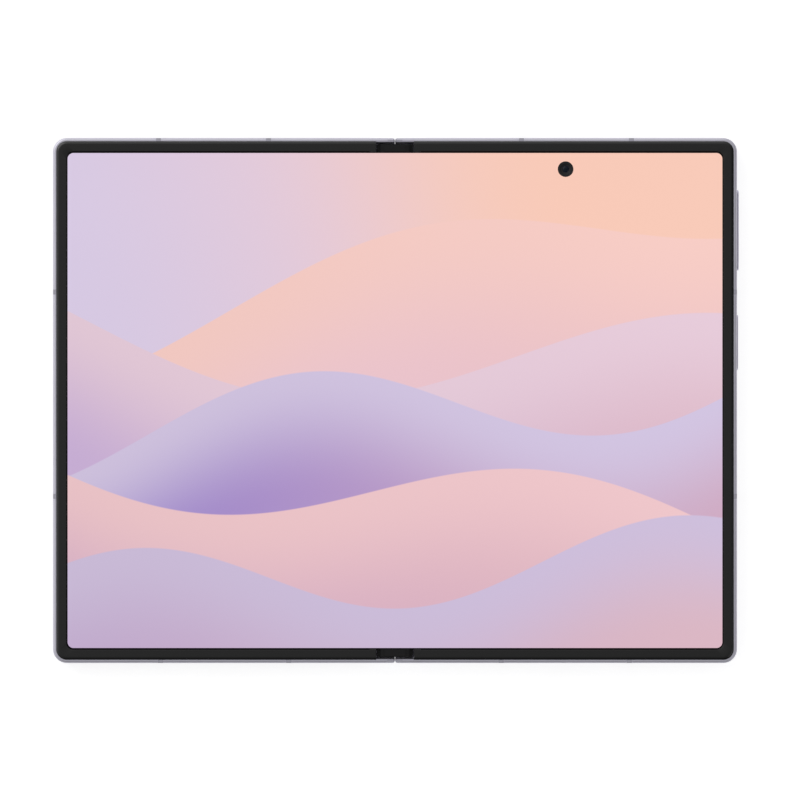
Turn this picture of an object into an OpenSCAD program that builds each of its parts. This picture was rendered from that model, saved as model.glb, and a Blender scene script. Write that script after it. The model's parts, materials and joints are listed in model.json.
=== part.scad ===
// Foldable smartphone, lying open on its back with the inner display up.
// X runs across the fold, Y along the hinge and Z up, away from the rear glass.
// X = 0 is the fold line, Y = 0 the middle of the height, Z = 0 the plane under the camera bump.

/* [Half body] */
// Width of one half, from the fold line to the outer edge
half_w = 80.7; // [78:0.1:88]
// Height of the phone along the hinge
body_h = 123.9; // [120:0.1:134]
// Thickness of one half, from the rear glass to the top of the bezel
body_t = 4.9; // [4.8:0.05:5.6]
// Radius of the outer corners seen from the front
corner_r = 3.25; // [2.9:0.05:5]
// Radius of the small corners beside the fold line
seam_corner_r = 0.55; // [0.3:0.05:0.9]
// Gap between the two halves at the fold line, phone open
seam_gap = 0.1; // [0.06:0.02:0.2]
// Gap between the two bezels, phone closed
closed_gap = 0.2; // [0.1:0.05:0.4]

/* [Metal frame] */
// Width of the metal lip that shows around the bezel
lip_w = 0.66; // [0.5:0.02:0.9]
// Height of the bezel above the metal lip
bezel_rise = 0.35; // [0.2:0.05:0.5]
// Rounding of the front outer edge
front_edge_r = 0.45; // [0.2:0.05:0.6]
// Rounding of the rear outer edge
rear_edge_r = 0.6; // [0.3:0.05:0.65]
// Thickness of the side walls
wall_t = 1.5; // [1.3:0.05:1.9]
// Thickness of the end walls beside the hinge
end_wall_t = 1.13; // [1:0.01:1.3]
// Thickness of the metal strip behind the hinge
strip_t = 0.5; // [0.4:0.05:0.6]
// Thickness of the mid-plate that carries the display
mid_t = 0.5; // [0.4:0.05:0.7]
// Width of the plastic antenna bands
band_w = 1.15; // [0.8:0.05:1.5]
// How far the antenna bands reach into the half
band_depth = 1.9; // [1.7:0.05:2.3]
// Distance of the outer antenna bands from the outer side, along top and bottom
band_outer = 24.9; // [23:0.1:27]
// Distance of the inner antenna bands from the fold line, along the top
band_inner_top = 29.85; // [28:0.1:32]
// Distance of the inner antenna bands from the fold line, along the bottom
band_inner_bottom = 25.05; // [23:0.1:27]
// Height above the middle of the upper antenna bands on the sides
band_side_up = 25.6; // [24:0.1:27]
// Depth below the middle of the lower antenna bands on the sides
band_side_down = 22.6; // [21:0.1:24]

/* [Bezel and display] */
// Width of the bezel, from the metal lip to its window
bezel_w = 2.5; // [2.2:0.05:3]
// Rounding of the outer edge of the bezel
bezel_edge_r = 0.7; // [0.3:0.05:0.8]
// Corner radius of the bezel window
window_r = 1.7; // [1.2:0.1:2.4]
// Distance from the fold line to the end of the bezel
bezel_start = 4.5; // [4.45:0.05:5.4]
// Depth of the display surface below the top of the bezel
display_drop = 0.25; // [0.15:0.05:0.35]
// Thickness of the flexible display panel
panel_t = 0.4; // [0.3:0.05:0.5]
// How far the panel runs under the bezel
panel_tuck = 0.4; // [0.3:0.05:0.6]
// Thickness of the metal backer under each half of the panel
backer_t = 0.35; // [0.25:0.05:0.45]
// Half the width of the part of the panel that bends
fold_half_w = 6; // [5.9:0.1:7]
// Offset of the front camera from the middle of the right half
front_cam_offset = -0.09; // [-2:0.01:2]
// Distance of the front camera from the top edge of the phone
front_cam_inset = 7.35; // [7.1:0.05:8.5]
// Diameter of the opening in the display for the front camera
front_cam_d = 3.7; // [3.4:0.1:4]

/* [Rear side] */
// Thickness of the rear glass
glass_t = 0.55; // [0.5:0.05:0.6]
// Distance from the outer edge of the frame to the rear glass
glass_inset = 0.75; // [0.7:0.05:0.95]
// Distance from the fold line to the rear glass
glass_start = 5.75; // [5.6:0.05:6.3]
// Height of the camera bump
bump_h = 1.3; // [1:0.05:1.8]
// Width of the camera bump
bump_w = 14; // [13.5:0.1:15]
// Length of the camera bump
bump_l = 42; // [41.5:0.1:44]
// Rounding of the edge of the camera bump
bump_edge_r = 0.4; // [0.2:0.05:0.6]
// Distance from the outer side to the middle of the camera bump
bump_side = 13; // [11.5:0.1:14]
// Distance from the top edge to the middle of the camera bump
bump_top = 24.4; // [24:0.1:26]
// Distance between the rear cameras
cam_pitch = 13.5; // [13:0.1:13.8]
// Diameter of the lens glass over each rear camera
lens_d = 9; // [8.6:0.1:9.6]
// Diameter of the lens barrel of each rear camera
barrel_d = 8.2; // [7.6:0.1:8.4]
// Side of the housing of each rear camera
cam_box = 10.4; // [9.6:0.1:10.8]
// Diameter of the flash
flash_d = 4; // [3:0.1:5]
// Distance from the middle of the camera bump to the flash
flash_side = 11.5; // [10.5:0.1:13]
// Thickness of the cover display behind its glass
cover_panel_t = 0.6; // [0.5:0.05:0.7]
// Width of the dark border around the cover display
cover_border = 1.6; // [1.4:0.1:2]

/* [Keys and ports] */
// Length of the volume key
volume_l = 19; // [17:0.1:21]
// Middle of the volume key, from the top edge
volume_drop = 21.75; // [15:0.05:30]
// How far the volume key stands out of the frame
volume_proud = 0.47; // [0.4:0.02:0.6]
// Length of the power key
power_l = 13.1; // [12:0.1:15]
// Middle of the power key, from the top edge
power_drop = 48.25; // [40:0.05:60]
// How far the power key stands out of the frame
power_proud = 0.32; // [0.3:0.02:0.4]
// Thickness of the keys, across the edge of the phone
key_t = 2.1; // [1.8:0.1:2.3]
// Travel of the keys
key_travel = 0.25; // [0.2:0.01:0.3]
// Offset of the charging port from the middle of the right half
port_offset = -0.35; // [-1:0.05:1]
// Width of the opening of the charging port
port_w = 8.34; // [8.3:0.01:8.4]
// Height of the opening of the charging port
port_h = 2.56; // [2.5:0.01:2.6]
// Wall of the metal shell of the charging port
port_wall = 0.3; // [0.25:0.01:0.32]
// Depth of the charging port
port_depth = 7.3; // [7:0.1:8]
// Length of the card tray along the edge of the phone
tray_l = 14; // [13:0.1:15]
// How far the face of the card tray passes the tray at each end
tray_lip = 1; // [0.8:0.1:1.5]
// Depth of the card tray
tray_d = 20; // [19:0.1:22]
// Height of the face of the card tray
tray_face = 1.8; // [1.6:0.05:2]
// Diameter of the pin hole in the tray face
tray_pin_d = 0.8; // [0.6:0.05:1]
// Distance below the middle of the card tray
tray_y = 38.5; // [37:0.1:40]
// Length of one speaker slot
slot_l = 2.2; // [1.8:0.1:2.4]
// Height of one speaker slot
slot_h = 1; // [0.8:0.05:1.2]
// Distance between speaker slots
slot_pitch = 3.2; // [3:0.1:3.6]
// Number of slots of the loudspeaker
slots_low = 6; // [5:1:6]
// Number of slots of the earpiece speaker
slots_high = 4; // [3:1:5]
// Diameter of the microphone holes
mic_d = 0.7; // [0.5:0.05:1]
// Distance from the charging port to the microphone hole on either side
mic_side = 7.5; // [6.8:0.1:8.5]
// Distance from the charging port to the microphone hole in the top edge
mic_top = 14; // [12:0.5:16]

/* [Hinge] */
// Distance of each virtual hinge axis from the fold line
axis_x = 1.2; // [1.15:0.05:1.3]
// Running gap between the frame and the hinge spine
spine_gap = 0.15; // [0.12:0.01:0.2]
// Thickness of the wall of the spine
spine_wall = 0.5; // [0.4:0.05:0.55]
// Gap between the spine and the end walls of the halves
spine_end_gap = 0.3; // [0.2:0.05:0.4]
// Length of each hinge module
module_l = 20; // [19.5:0.1:21]
// Distance from the end of the spine to the middle of each hinge module
module_inset = 16.5; // [16:0.1:18]
// Width of each swing arm along the hinge
arm_w = 4; // [3.6:0.1:4.2]
// Distance of each swing arm from the middle of its module
arm_offset = 6; // [5.8:0.1:6.2]
// Thickness of the curved part of the swing arms
arm_t = 0.7; // [0.5:0.05:0.8]
// Thickness of the flat part of the swing arms
tab_t = 0.55; // [0.45:0.05:0.6]
// Distance from the fold line to the end of the swing arms
arm_reach = 9.8; // [9.6:0.1:10]
// Face width of the synchronizing gears
gear_w = 3.2; // [2.8:0.1:3.4]
// Number of teeth of each synchronizing gear
gear_teeth = 8; // [8:2:8]
// Diameter of the gear pins
pin_d = 0.5; // [0.4:0.02:0.54]
// Distance from the fold line to the end of the sync levers
lever_reach = 8.6; // [8.2:0.1:9]
// Turn of the wing plates while the phone closes
wing_angle = 25.2; // [24:0.2:26]
// Distance from the fold line to the pivot bead of the wing plates
wing_pivot_x = 6.3; // [6.25:0.05:6.5]
// Radius of the pivot bead of the wing plates
bead_r = 0.25; // [0.2:0.01:0.27]
// Thickness of the wing plates
wing_t = 0.35; // [0.25:0.05:0.38]
// Distance from the fold line to the free edge of the wing plates
wing_tip_x = 1; // [0.9:0.05:1.4]
// Width of the rail under the fold of the display
rail_w = 1.4; // [1:0.1:1.5]
// Thickness of the rib under that rail
rib_t = 0.7; // [0.5:0.05:0.8]
// Width of the lower step of the end caps
cap_plate_w = 6.8; // [6:0.1:7.2]
// Width of the upper step of the end caps
cap_pad_w = 5; // [4.4:0.1:5.6]

/* [Inside] */
// Thickness of the circuit boards
board_t = 0.7; // [0.6:0.05:0.8]
// Height of the shield cans
shield_h = 1.15; // [1:0.05:1.2]
// Thickness of the batteries
battery_t = 2; // [1.7:0.05:2.05]
// Width of the right battery
right_battery_w = 34; // [32:0.5:35]
// Distance from the top and bottom edges to the right battery
right_battery_room = 12.95; // [12.2:0.05:15]
// Width of the left battery
left_battery_w = 39; // [37:0.5:40]
// Distance from the top and bottom edges to the left battery
left_battery_room = 17.95; // [16:0.05:20]
// Distance from the fold line to the batteries
battery_start = 10.8; // [10.6:0.1:11.4]
// Outer diameter of the charging coil
coil_d = 40; // [37:0.5:42]
// Inner diameter of the charging coil
coil_bore_d = 20; // [18:0.5:22]
// Thickness of the charging coil
coil_t = 0.3; // [0.2:0.02:0.32]
// Diameter of the screw shafts
screw_d = 1; // [0.9:0.05:1.1]
// Height of the screw heads
screw_head_h = 0.45; // [0.4:0.05:0.5]
// Overhang of the screw heads
screw_head_lip = 0.3; // [0.22:0.01:0.35]
// Depth of the sockets in the screw heads
socket_depth = 0.2; // [0.15:0.01:0.25]
// Distance from the end of each swing arm to its outer screw
arm_screw_end = 0.9; // [0.85:0.05:1]
// Distance between the two screws of each swing arm
arm_screw_pitch = 1.7; // [1.65:0.05:1.9]
// Distance from the ends of each bracket to its screws
bracket_screw_end = 0.95; // [0.9:0.01:1]
// Depth below the middle of the lower end of the main board
board_low = 18; // [14:0.5:20]
// Depth below the middle of the lower end of the left board
left_board_low = 24; // [20:0.5:26]
// Length of the left board
left_board_l = 70; // [66:0.5:72]
// Width of the lower board
lower_board_w = 42; // [40:0.5:44]
// Length of the vibration motor
motor_l = 13; // [11:0.5:15]
// Width of the vibration motor
motor_w = 8; // [6:0.5:9]
// Height of the vibration motor
motor_h = 2; // [1.6:0.05:2.1]
// Height of the two speaker boxes
speaker_h = 1.8; // [1.5:0.05:2]
// How far the speaker boxes pass the ends of their slots
speaker_lip = 2.5; // [2:0.1:3]
// Distance from the batteries to the speaker behind the top edge
earpiece_x = 11.5; // [10.5:0.1:13]
// Distance from the batteries to the speaker behind the bottom edge
loudspeaker_x = 26; // [25:0.1:27]
// Length of the shield cans on the main board
can_l = 19; // [16:0.5:20]
// Height of the parts on the lower board and the left board
part_h = 1; // [0.8:0.05:1.1]
// Length of the parts on the lower board
part_l = 8; // [7:0.5:9]
// Gap between the shielded parts on the left board
left_can_gap = 4; // [3:0.5:6]
// Length of the magnets that hold the phone closed
magnet_l = 6.5; // [5:0.5:7]
// Width of those magnets
magnet_w = 1.2; // [1:0.05:1.3]
// Height of those magnets
magnet_h = 1.4; // [1.2:0.05:1.6]

/* [Clearances] */
// Gap between pieces that are glued or clipped together
fit = 0.03; // [0.02:0.01:0.05]
// Layer of adhesive under the display and on inner pieces
glue = 0.05; // [0.03:0.01:0.06]
// Running gap of the hinge parts
run = 0.05; // [0.04:0.01:0.06]
// Gap around the keys and the card tray
key_gap = 0.08; // [0.05:0.01:0.1]

/* [Hidden] */
$fn = 72;

// Colours
metal_colour = [0.73, 0.72, 0.78];
band_colour = [0.6, 0.59, 0.65];
bezel_colour = [0.13, 0.13, 0.14];
glass_colour = [0.66, 0.64, 0.72];
panel_colour = [0.9, 0.8, 0.85];
steel_colour = [0.62, 0.63, 0.65];
spring_steel_colour = [0.5, 0.5, 0.52];
board_colour = [0.1, 0.3, 0.18];
copper_colour = [0.75, 0.45, 0.25];
battery_colour = [0.2, 0.2, 0.22];
plastic_colour = [0.12, 0.12, 0.13];
lens_colour = [0.05, 0.06, 0.09];
flash_colour = [0.95, 0.9, 0.7];

// Cuts pass this far beyond a face
over = 1;

// Levels, from the back to the front
half_h = body_h / 2;
back_z = bump_h;
glass_z = back_z + glass_t;
top_z = back_z + body_t;
lip_z = top_z - bezel_rise;
panel_z = top_z - display_drop;
panel_low_z = panel_z - panel_t;
ledge_z = panel_low_z - backer_t - glue;
mid_z = ledge_z - mid_t;
inner_z = mid_z - glue;
seam_x = seam_gap / 2;

// Bezel window and display panel
window_x = half_w - lip_w - bezel_w;
window_y = half_h - lip_w - bezel_w;
panel_x = window_x + panel_tuck;
panel_y = window_y + panel_tuck;
panel_r = window_r - panel_tuck / 2;
front_cam_x = half_w / 2 + front_cam_offset;
front_cam_y = half_h - front_cam_inset;

// Virtual hinge axes: half as high below the parting plane as they are far from it
parting_z = top_z + closed_gap / 2;
axis_z = parting_z - axis_x;

// Spine, a trough of two quarter circles about the virtual axes
strip_z = back_z + strip_t;
bay_r = axis_z - strip_z;
spine_r = bay_r - spine_gap;
bowl_r = spine_r - spine_wall;
spine_top_z = axis_z - 0.15;
bay_y = half_h - end_wall_t;
spine_y = bay_y - spine_end_gap;
floor_z = axis_z - bowl_r;
cap_l = spine_y - window_y + 0.2;
fold_y = spine_y - cap_l - run;

// Swing arms and their grooves
arm_out_r = bowl_r - run;
arm_in_r = arm_out_r - arm_t;
arm_from = 252;
arm_to = 345;
tab_z = inner_z - tab_t + glue;
module_y = spine_y - module_inset;
right_arm_y = module_y - arm_offset;
left_arm_y = module_y + arm_offset;
bracket_z = axis_z - 0.2;
pocket_z = strip_z + 1.6;
pocket_x = arm_reach + 0.3;
module_room = 0.4;
notch_z = tab_z - 0.1;
arm_screws_x = [arm_reach - arm_screw_end, arm_reach - arm_screw_end - arm_screw_pitch];

// Synchronizing gears: the largest pitch radius whose tips stay clear of the bowl
gear_space = bowl_r - 0.08;
gear_k = (2 + 4 / gear_teeth) * gear_space - 6 * axis_x;
gear_r = (sqrt(gear_k * gear_k + 36 * (gear_space * gear_space - axis_x * axis_x)) - gear_k) / 18;
gear_module = 2 * gear_r / gear_teeth;
gear_tip_r = gear_r + gear_module;
gear_root_r = gear_r - 1.25 * gear_module;
gear_z = axis_z - gear_tip_r;
gear_slot_w = gear_w + 0.3;
gear_bore_r = pin_d / 2 + 0.03;
gear_xs = [-3 * gear_r, -gear_r, gear_r, 3 * gear_r];
half_tooth = 180 / gear_teeth;
pin_wall = 1.3;
pin_l = gear_slot_w + 2 * pin_wall;
lever_w = gear_w - 0.4;

// Screws: those of the brackets, and the heads and sockets of both kinds
bracket_screw_ys = [
    module_y - module_l / 2 + bracket_screw_end,
    module_y + module_l / 2 - bracket_screw_end
];
bracket_screw_r = 0.8 * screw_d / 2;
bracket_head_r = bracket_screw_r + screw_head_lip;
bracket_head_z = floor_z + 2 * spine_wall;
bracket_tip_z = floor_z - 0.7 * spine_wall;
arm_head_r = screw_d / 2 + screw_head_lip;
socket_r = screw_head_lip;

// Wing plates
wing_pivot_z = panel_low_z - glue - bead_r;
bead_seat_r = bead_r + 0.04;
slope_l = 2.3;
wing_y = fold_y - 0.1;
rail_top_z = panel_low_z - glue;
rail_low_z = gear_z + gear_tip_r + 0.05;
cap_low_z = axis_z - 0.6;
cap_step = 0.25;

// Speakers, card tray and port
speaker_low_x = battery_start + loudspeaker_x;
speaker_high_x = battery_start + earpiece_x;
edge_z = (back_z + lip_z) / 2;
tray_z = edge_z + 0.05;
tray_t = 0.8;
tray_pin_y = tray_l / 2 + tray_lip - tray_face / 2 - 0.1;
tray_pin_depth = 1;
port_z = edge_z;
port_x = half_w / 2 + port_offset;
port_inner_y = port_depth - half_h;
port_back_t = 0.8;
tongue_w = 6.7;
tongue_t = 0.7;
key_z = edge_z - 0.1;
volume_y = half_h - volume_drop;
power_y = half_h - power_drop;
key_flange = 0.6;
key_back_x = half_w - wall_t - 0.6;
switch_x = key_back_x - key_travel - 0.05;
switch_h = 0.4;
switch_strip = 0.3;
switch_r = 0.8;
switch_end = 3;

// Rear cameras
bump_x = half_w - bump_side;
bump_y = half_h - bump_top;
cam_ys = [bump_y + cam_pitch, bump_y, bump_y - cam_pitch];
lens_t = 0.4;
lens_recess = 0.12;

// Inner layout of the right half
battery_gap = 1.2;
board_edge = 0.8;
camera_room = 0.3;
right_battery_y = half_h - right_battery_room;
board_x0 = battery_start + right_battery_w + battery_gap;
board_x1 = half_w - wall_t - 1.8;
board_y1 = half_h - wall_t - board_edge;
board_z = inner_z - shield_h - board_t;
coil_x = battery_start + right_battery_w / 2;
coil_y = -4;
lower_board_x0 = port_x - lower_board_w / 2 - 1;
lower_board_x1 = lower_board_x0 + lower_board_w;
lower_board_y1 = -right_battery_y - board_edge;
lower_board_z = inner_z - part_h - board_t;
motor_x = board_x0 + 6;
motor_y = lower_board_y1 + board_edge;
magnet_x = half_w - wall_t - 0.4;
magnet_y = half_h - 2.8;

// Shield cans of the main board: a column beside the cameras, and one below them
can_t = 0.2;
can_x0 = board_x0 + board_edge;
can_x1 = bump_x - cam_box / 2 - camera_room - board_edge;
can_y0 = board_edge - board_low;
can_pitch = can_l + board_edge;
cans = [
    for (i = [0:2]) [can_x0, can_y0 + i * can_pitch, can_x1, can_y0 + i * can_pitch + can_l],
    [
        can_x1 + board_edge, can_y0,
        board_x1 - board_edge, cam_ys[2] - cam_box / 2 - camera_room - board_edge
    ]
];

// Inner layout of the left half
left_battery_z = glass_z + cover_panel_t + 0.1;
left_battery_y = half_h - left_battery_room;
left_board_x0 = battery_start + left_battery_w + battery_gap;
left_can_l = (left_board_l - 4 * board_edge - 2 * left_can_gap) / 3;

// Housings of the small cameras, half their side, and the lens of the cover camera
front_cam_box = 3.1;
cover_cam_box = 3;
cover_cam_x = (half_w + glass_start) / 2;
cover_cam_y = half_h - 7;
cover_cam_r = 1.5;
front_lens_r = 0.9;

// ---------- shared shapes ----------

// Half of a section, from the middle (x = 0) out to w, its outer corners rounded
module edge_section(w, z0, z1, r_low, r_high) {
    difference() {
        translate([0, z0]) square([w, z1 - z0]);
        if (r_high > 0)
            difference() {
                translate([w - r_high, z1 - r_high]) square(r_high + over);
                translate([w - r_high, z1 - r_high]) circle(r_high);
            }
        if (r_low > 0)
            difference() {
                translate([w - r_low, z0 - over]) square([r_low + over, r_low + over]);
                translate([w - r_low, z0 + r_low]) circle(r_low);
            }
    }
}

// Its children here and mirrored to the other end of the hinge
module both_ends() {
    children();
    mirror([0, 1, 0]) children();
}

// Slab with the outline of one half, drawn in by inset, its outer edges rounded
module half_slab(inset, z0, z1, x0 = 0, r_low = 0, r_high = 0) {
    w = half_w - inset;
    h = half_h - inset;
    r = corner_r - inset;
    translate([x0, r - h, z0]) cube([w - r - x0, 2 * (h - r), z1 - z0]);
    translate([w - r, h - r, 0])
        rotate([90, 0, 0])
            linear_extrude(2 * (h - r)) edge_section(r, z0, z1, r_low, r_high);
    both_ends() {
        translate([x0, h - r, 0])
            rotate([90, 0, 90])
                linear_extrude(w - r - x0) edge_section(r, z0, z1, r_low, r_high);
        translate([w - r, h - r, 0])
            rotate_extrude(angle = 90) edge_section(r, z0, z1, r_low, r_high);
    }
}

// Outline from x0 to x1 and y each way, round at its two outer corners
module outer_round(x0, x1, y, r) {
    translate([x0, -y]) square([x1 - r - x0, 2 * y]);
    translate([x1 - r - over, r - y]) square([r + over, 2 * (y - r)]);
    for (side = [-1, 1])
        translate([x1 - r, side * (y - r)]) circle(r);
}

// Plate with that outline
module outer_round_plate(x0, x1, y, r, z0, z1) {
    translate([0, 0, z0]) linear_extrude(z1 - z0) outer_round(x0, x1, y, r);
}

// Outline of one half, round at the two small corners beside the fold line
module seam_round() {
    translate([seam_x + seam_corner_r, -half_h]) square([half_w, body_h]);
    translate([seam_x, seam_corner_r - half_h]) square([half_w, body_h - 2 * seam_corner_r]);
    for (side = [-1, 1])
        translate([seam_x + seam_corner_r, side * (half_h - seam_corner_r)]) circle(seam_corner_r);
}

// Block given by its low and high corners
module block(low, high) {
    translate(low) cube(high - low);
}

// Upright round bar from z0 to z1
module post(x, y, r, z0, z1) {
    translate([x, y, z0]) cylinder(h = z1 - z0, r = r);
}

// A section in the X-Z plane, extruded l along the hinge about the middle y
module along_hinge(y, l) {
    translate([0, y + l / 2, 0]) rotate([90, 0, 0]) linear_extrude(l) children();
}

// Stadium outline, l along the hinge and h high, extruded from x0 to x1
module side_stadium(x0, x1, y, z, l, h) {
    translate([x0, y, z])
        rotate([90, 0, 90])
            linear_extrude(x1 - x0) stadium_2d(l, h);
}

// Stadium outline, w across the fold and h high, extruded from y0 to y1
module end_stadium(y0, y1, x, z, w, h) {
    translate([x, y1, z]) rotate([90, 0, 0]) linear_extrude(y1 - y0) stadium_2d(w, h);
}

module stadium_2d(l, h) {
    translate([(h - l) / 2, -h / 2]) square([l - h, h]);
    for (side = [-1, 1])
        translate([side * (l - h) / 2, 0]) circle(h / 2);
}

// ---------- frames ----------

// Bay for the hinge: the sweep of the spine, and the room under the turned wing plate
module hinge_bay_2d() {
    seat_z = wing_pivot_z - bead_seat_r;
    translate([axis_x, axis_z]) circle(bay_r);
    translate([-over, strip_z]) square([axis_x + over, top_z]);
    polygon([
        [wing_pivot_x, seat_z],
        [wing_pivot_x - slope_l * cos(wing_angle), seat_z - slope_l * sin(wing_angle)],
        [axis_x, axis_z],
        [axis_x, top_z + over],
        [wing_pivot_x, top_z + over]
    ]);
    translate([wing_pivot_x, wing_pivot_z]) circle(bead_seat_r);
}

// What the halves must keep clear of each other as their seam corners turn
module seam_sweep_2d() {
    difference() {
        translate([-over, axis_z]) square([axis_x + over, top_z]);
        translate([axis_x, axis_z]) circle(axis_x - seam_x);
    }
}

// Antenna slots along the top, the bottom and the outer side of a half
module half_antenna_slots() {
    for (x = [half_w - band_outer, band_inner_top])
        block([x - band_w / 2, half_h - band_depth, 0], [x + band_w / 2, half_h + over, top_z]);
    for (x = [half_w - band_outer - 0.5, band_inner_bottom])
        block([x - band_w / 2, -half_h - over, 0], [x + band_w / 2, band_depth - half_h, top_z]);
    for (y = [band_side_up, -band_side_down])
        block([half_w - band_depth, y - band_w / 2, 0], [half_w + over, y + band_w / 2, top_z]);
}

// Frame of one half, in one piece with its mid-plate and the rail beside the hinge;
// its screw holes lie under the swing arms at arm_y
module half_frame(arm_y) {
    difference() {
        intersection() {
            half_slab(0, back_z, lip_z, 0, rear_edge_r, front_edge_r);
            translate([0, 0, back_z]) linear_extrude(body_t) seam_round();
        }
        half_slab(lip_w - fit, ledge_z, top_z, bezel_start - fit);
        half_slab(glass_inset - fit, back_z - over, glass_z, glass_start - fit);
        half_slab(wall_t, glass_z - fit, mid_z, glass_start + 0.8);
        along_hinge(0, 2 * bay_y) hinge_bay_2d();
        along_hinge(0, 2 * body_h) seam_sweep_2d();
        both_ends()
            block(
                [axis_x, module_y - module_l / 2 - module_room, pocket_z],
                [pocket_x, module_y + module_l / 2 + module_room, mid_z]);
        both_ends()
            for (x = arm_screws_x)
                post(x, arm_y, screw_d / 2, mid_z - over, ledge_z - 0.1);
    }
}

module right_frame() {
    color(metal_colour)
        difference() {
            half_frame(right_arm_y);
            half_antenna_slots();
            key_openings();
            end_stadium(
                -half_h - over, port_depth - half_h + fit, port_x, port_z,
                port_w + 2 * (port_wall + fit), port_h + 2 * (port_wall + fit));
            post(front_cam_x, front_cam_y, front_cam_d / 2 + 0.1, mid_z - over, top_z);
            for (hole = [
                [port_x - mic_side, -half_h - over],
                [port_x + mic_side, -half_h - over],
                [port_x - mic_top, half_h - wall_t - over]
            ])
                translate([hole[0], hole[1], port_z])
                    rotate([-90, 0, 0]) cylinder(h = wall_t + 2 * over, r = mic_d / 2);
        }
}

// Openings in the side wall for the two keys, with room for their flanges
module key_openings() {
    for (key = [[volume_y, volume_l], [power_y, power_l]])
        side_stadium(
            half_w - wall_t - over, half_w + over, key[0], key_z,
            key[1] + 2 * key_gap, key_t + 2 * key_gap);
}

module left_frame() {
    color(metal_colour)
        mirror([1, 0, 0])
            difference() {
                half_frame(left_arm_y);
                half_antenna_slots();
                side_stadium(
                    half_w - wall_t - over, half_w + over, -tray_y, tray_z,
                    tray_l + 2 * (tray_lip + key_gap), tray_face + 2 * key_gap);
                speaker_slots(slots_low, -1, speaker_low_x);
                speaker_slots(slots_high, 1, speaker_high_x);
            }
}

// A row of slots through the top (side 1) or the bottom (side -1) wall
module speaker_slots(count, side, x_mid) {
    y0 = side > 0 ? half_h - wall_t - over : -half_h - over;
    for (i = [0:count - 1])
        end_stadium(
            y0, y0 + wall_t + 2 * over,
            x_mid + (i - (count - 1) / 2) * slot_pitch, port_z, slot_l, slot_h);
}

module right_antenna_bands() {
    color(band_colour)
        intersection() {
            half_frame(right_arm_y);
            half_antenna_slots();
        }
}

module left_antenna_bands() {
    color(band_colour)
        mirror([1, 0, 0])
            intersection() {
                half_frame(left_arm_y);
                half_antenna_slots();
            }
}

// ---------- bezels, display and rear glass ----------

module half_bezel() {
    difference() {
        half_slab(lip_w, ledge_z + glue, top_z, bezel_start, 0, bezel_edge_r);
        outer_round_plate(-over, window_x, window_y, window_r, 0, top_z + over);
        outer_round_plate(
            -over, panel_x + 0.1, panel_y + 0.1, panel_r, 0, panel_z + fit);
    }
}

module right_bezel() {
    color(bezel_colour) half_bezel();
}

module left_bezel() {
    color(bezel_colour) mirror([1, 0, 0]) half_bezel();
}

module half_panel() {
    outer_round_plate(fold_half_w, panel_x, panel_y, panel_r, panel_low_z, panel_z);
}

module half_backer() {
    outer_round_plate(
        wing_pivot_x + bead_seat_r, panel_x, panel_y, panel_r,
        ledge_z + glue, panel_low_z);
}

module display_right() {
    color(panel_colour)
        difference() {
            half_panel();
            post(front_cam_x, front_cam_y, front_cam_d / 2, 0, top_z);
        }
}

module display_left() {
    color(panel_colour) mirror([1, 0, 0]) half_panel();
}

// The part of the panel that bends, between the two end caps
module display_fold() {
    color(panel_colour)
        block(
            [-fold_half_w, -fold_y, panel_low_z],
            [fold_half_w, fold_y, panel_z]);
}

module right_display_backer() {
    color(steel_colour)
        difference() {
            half_backer();
            post(front_cam_x, front_cam_y, front_cam_d / 2 + 0.1, 0, top_z);
        }
}

module left_display_backer() {
    color(steel_colour) mirror([1, 0, 0]) half_backer();
}

module right_back_glass() {
    color(glass_colour)
        difference() {
            half_slab(glass_inset, back_z, glass_z - fit, glass_start, 0.25, 0);
            for (y = cam_ys)
                post(bump_x, y, barrel_d / 2 + 0.1, 0, top_z);
            post(bump_x - flash_side, cam_ys[0], flash_d / 2 + fit, 0, top_z);
        }
}

module cover_glass() {
    color(lens_colour)
        mirror([1, 0, 0])
            half_slab(glass_inset, back_z, glass_z - fit, glass_start, 0.25, 0);
}

module cover_display_panel() {
    color(plastic_colour)
        mirror([1, 0, 0])
            difference() {
                half_slab(
                    max(wall_t + 0.2, glass_inset + cover_border - 0.5),
                    glass_z, glass_z + cover_panel_t, glass_start + 1);
                post(cover_cam_x, cover_cam_y, cover_cam_r + 0.15, 0, top_z);
            }
}

// ---------- cameras ----------

module camera_island() {
    straight = bump_l - bump_w;
    color(metal_colour)
        difference() {
            translate([bump_x, bump_y, 0]) {
                for (turn = [0, 180])
                    rotate(turn) {
                        translate([0, straight / 2, 0])
                            rotate_extrude(angle = 180)
                                edge_section(bump_w / 2, 0, bump_h, bump_edge_r, 0);
                        translate([0, straight / 2, 0])
                            rotate([90, 0, 0])
                                linear_extrude(straight)
                                    edge_section(bump_w / 2, 0, bump_h, bump_edge_r, 0);
                    }
            }
            for (y = cam_ys) {
                post(bump_x, y, barrel_d / 2 + fit, -over, bump_h + over);
                post(bump_x, y, lens_d / 2 + fit, -over, lens_recess + lens_t + fit);
            }
        }
}

// Rear camera: a square housing on the mid-plate and a barrel through the rear glass
module rear_camera(y, turn_d) {
    box_low_z = glass_z + 0.1;
    color(plastic_colour) {
        block(
            [bump_x - cam_box / 2, y - cam_box / 2, box_low_z],
            [bump_x + cam_box / 2, y + cam_box / 2, inner_z]);
        difference() {
            post(bump_x, y, barrel_d / 2, lens_recess + lens_t + 2 * fit, box_low_z + fit);
            post(bump_x, y, turn_d / 2, 0, lens_recess + lens_t + 0.6);
        }
    }
}

module main_camera() {
    rear_camera(cam_ys[1], 6.4);
}

module ultrawide_camera() {
    rear_camera(cam_ys[0], 5.2);
}

module telephoto_camera() {
    rear_camera(cam_ys[2], 5.8);
}

module camera_lens_glass() {
    color(lens_colour)
        for (y = cam_ys)
            post(bump_x, y, lens_d / 2, lens_recess, lens_recess + lens_t);
}

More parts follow.
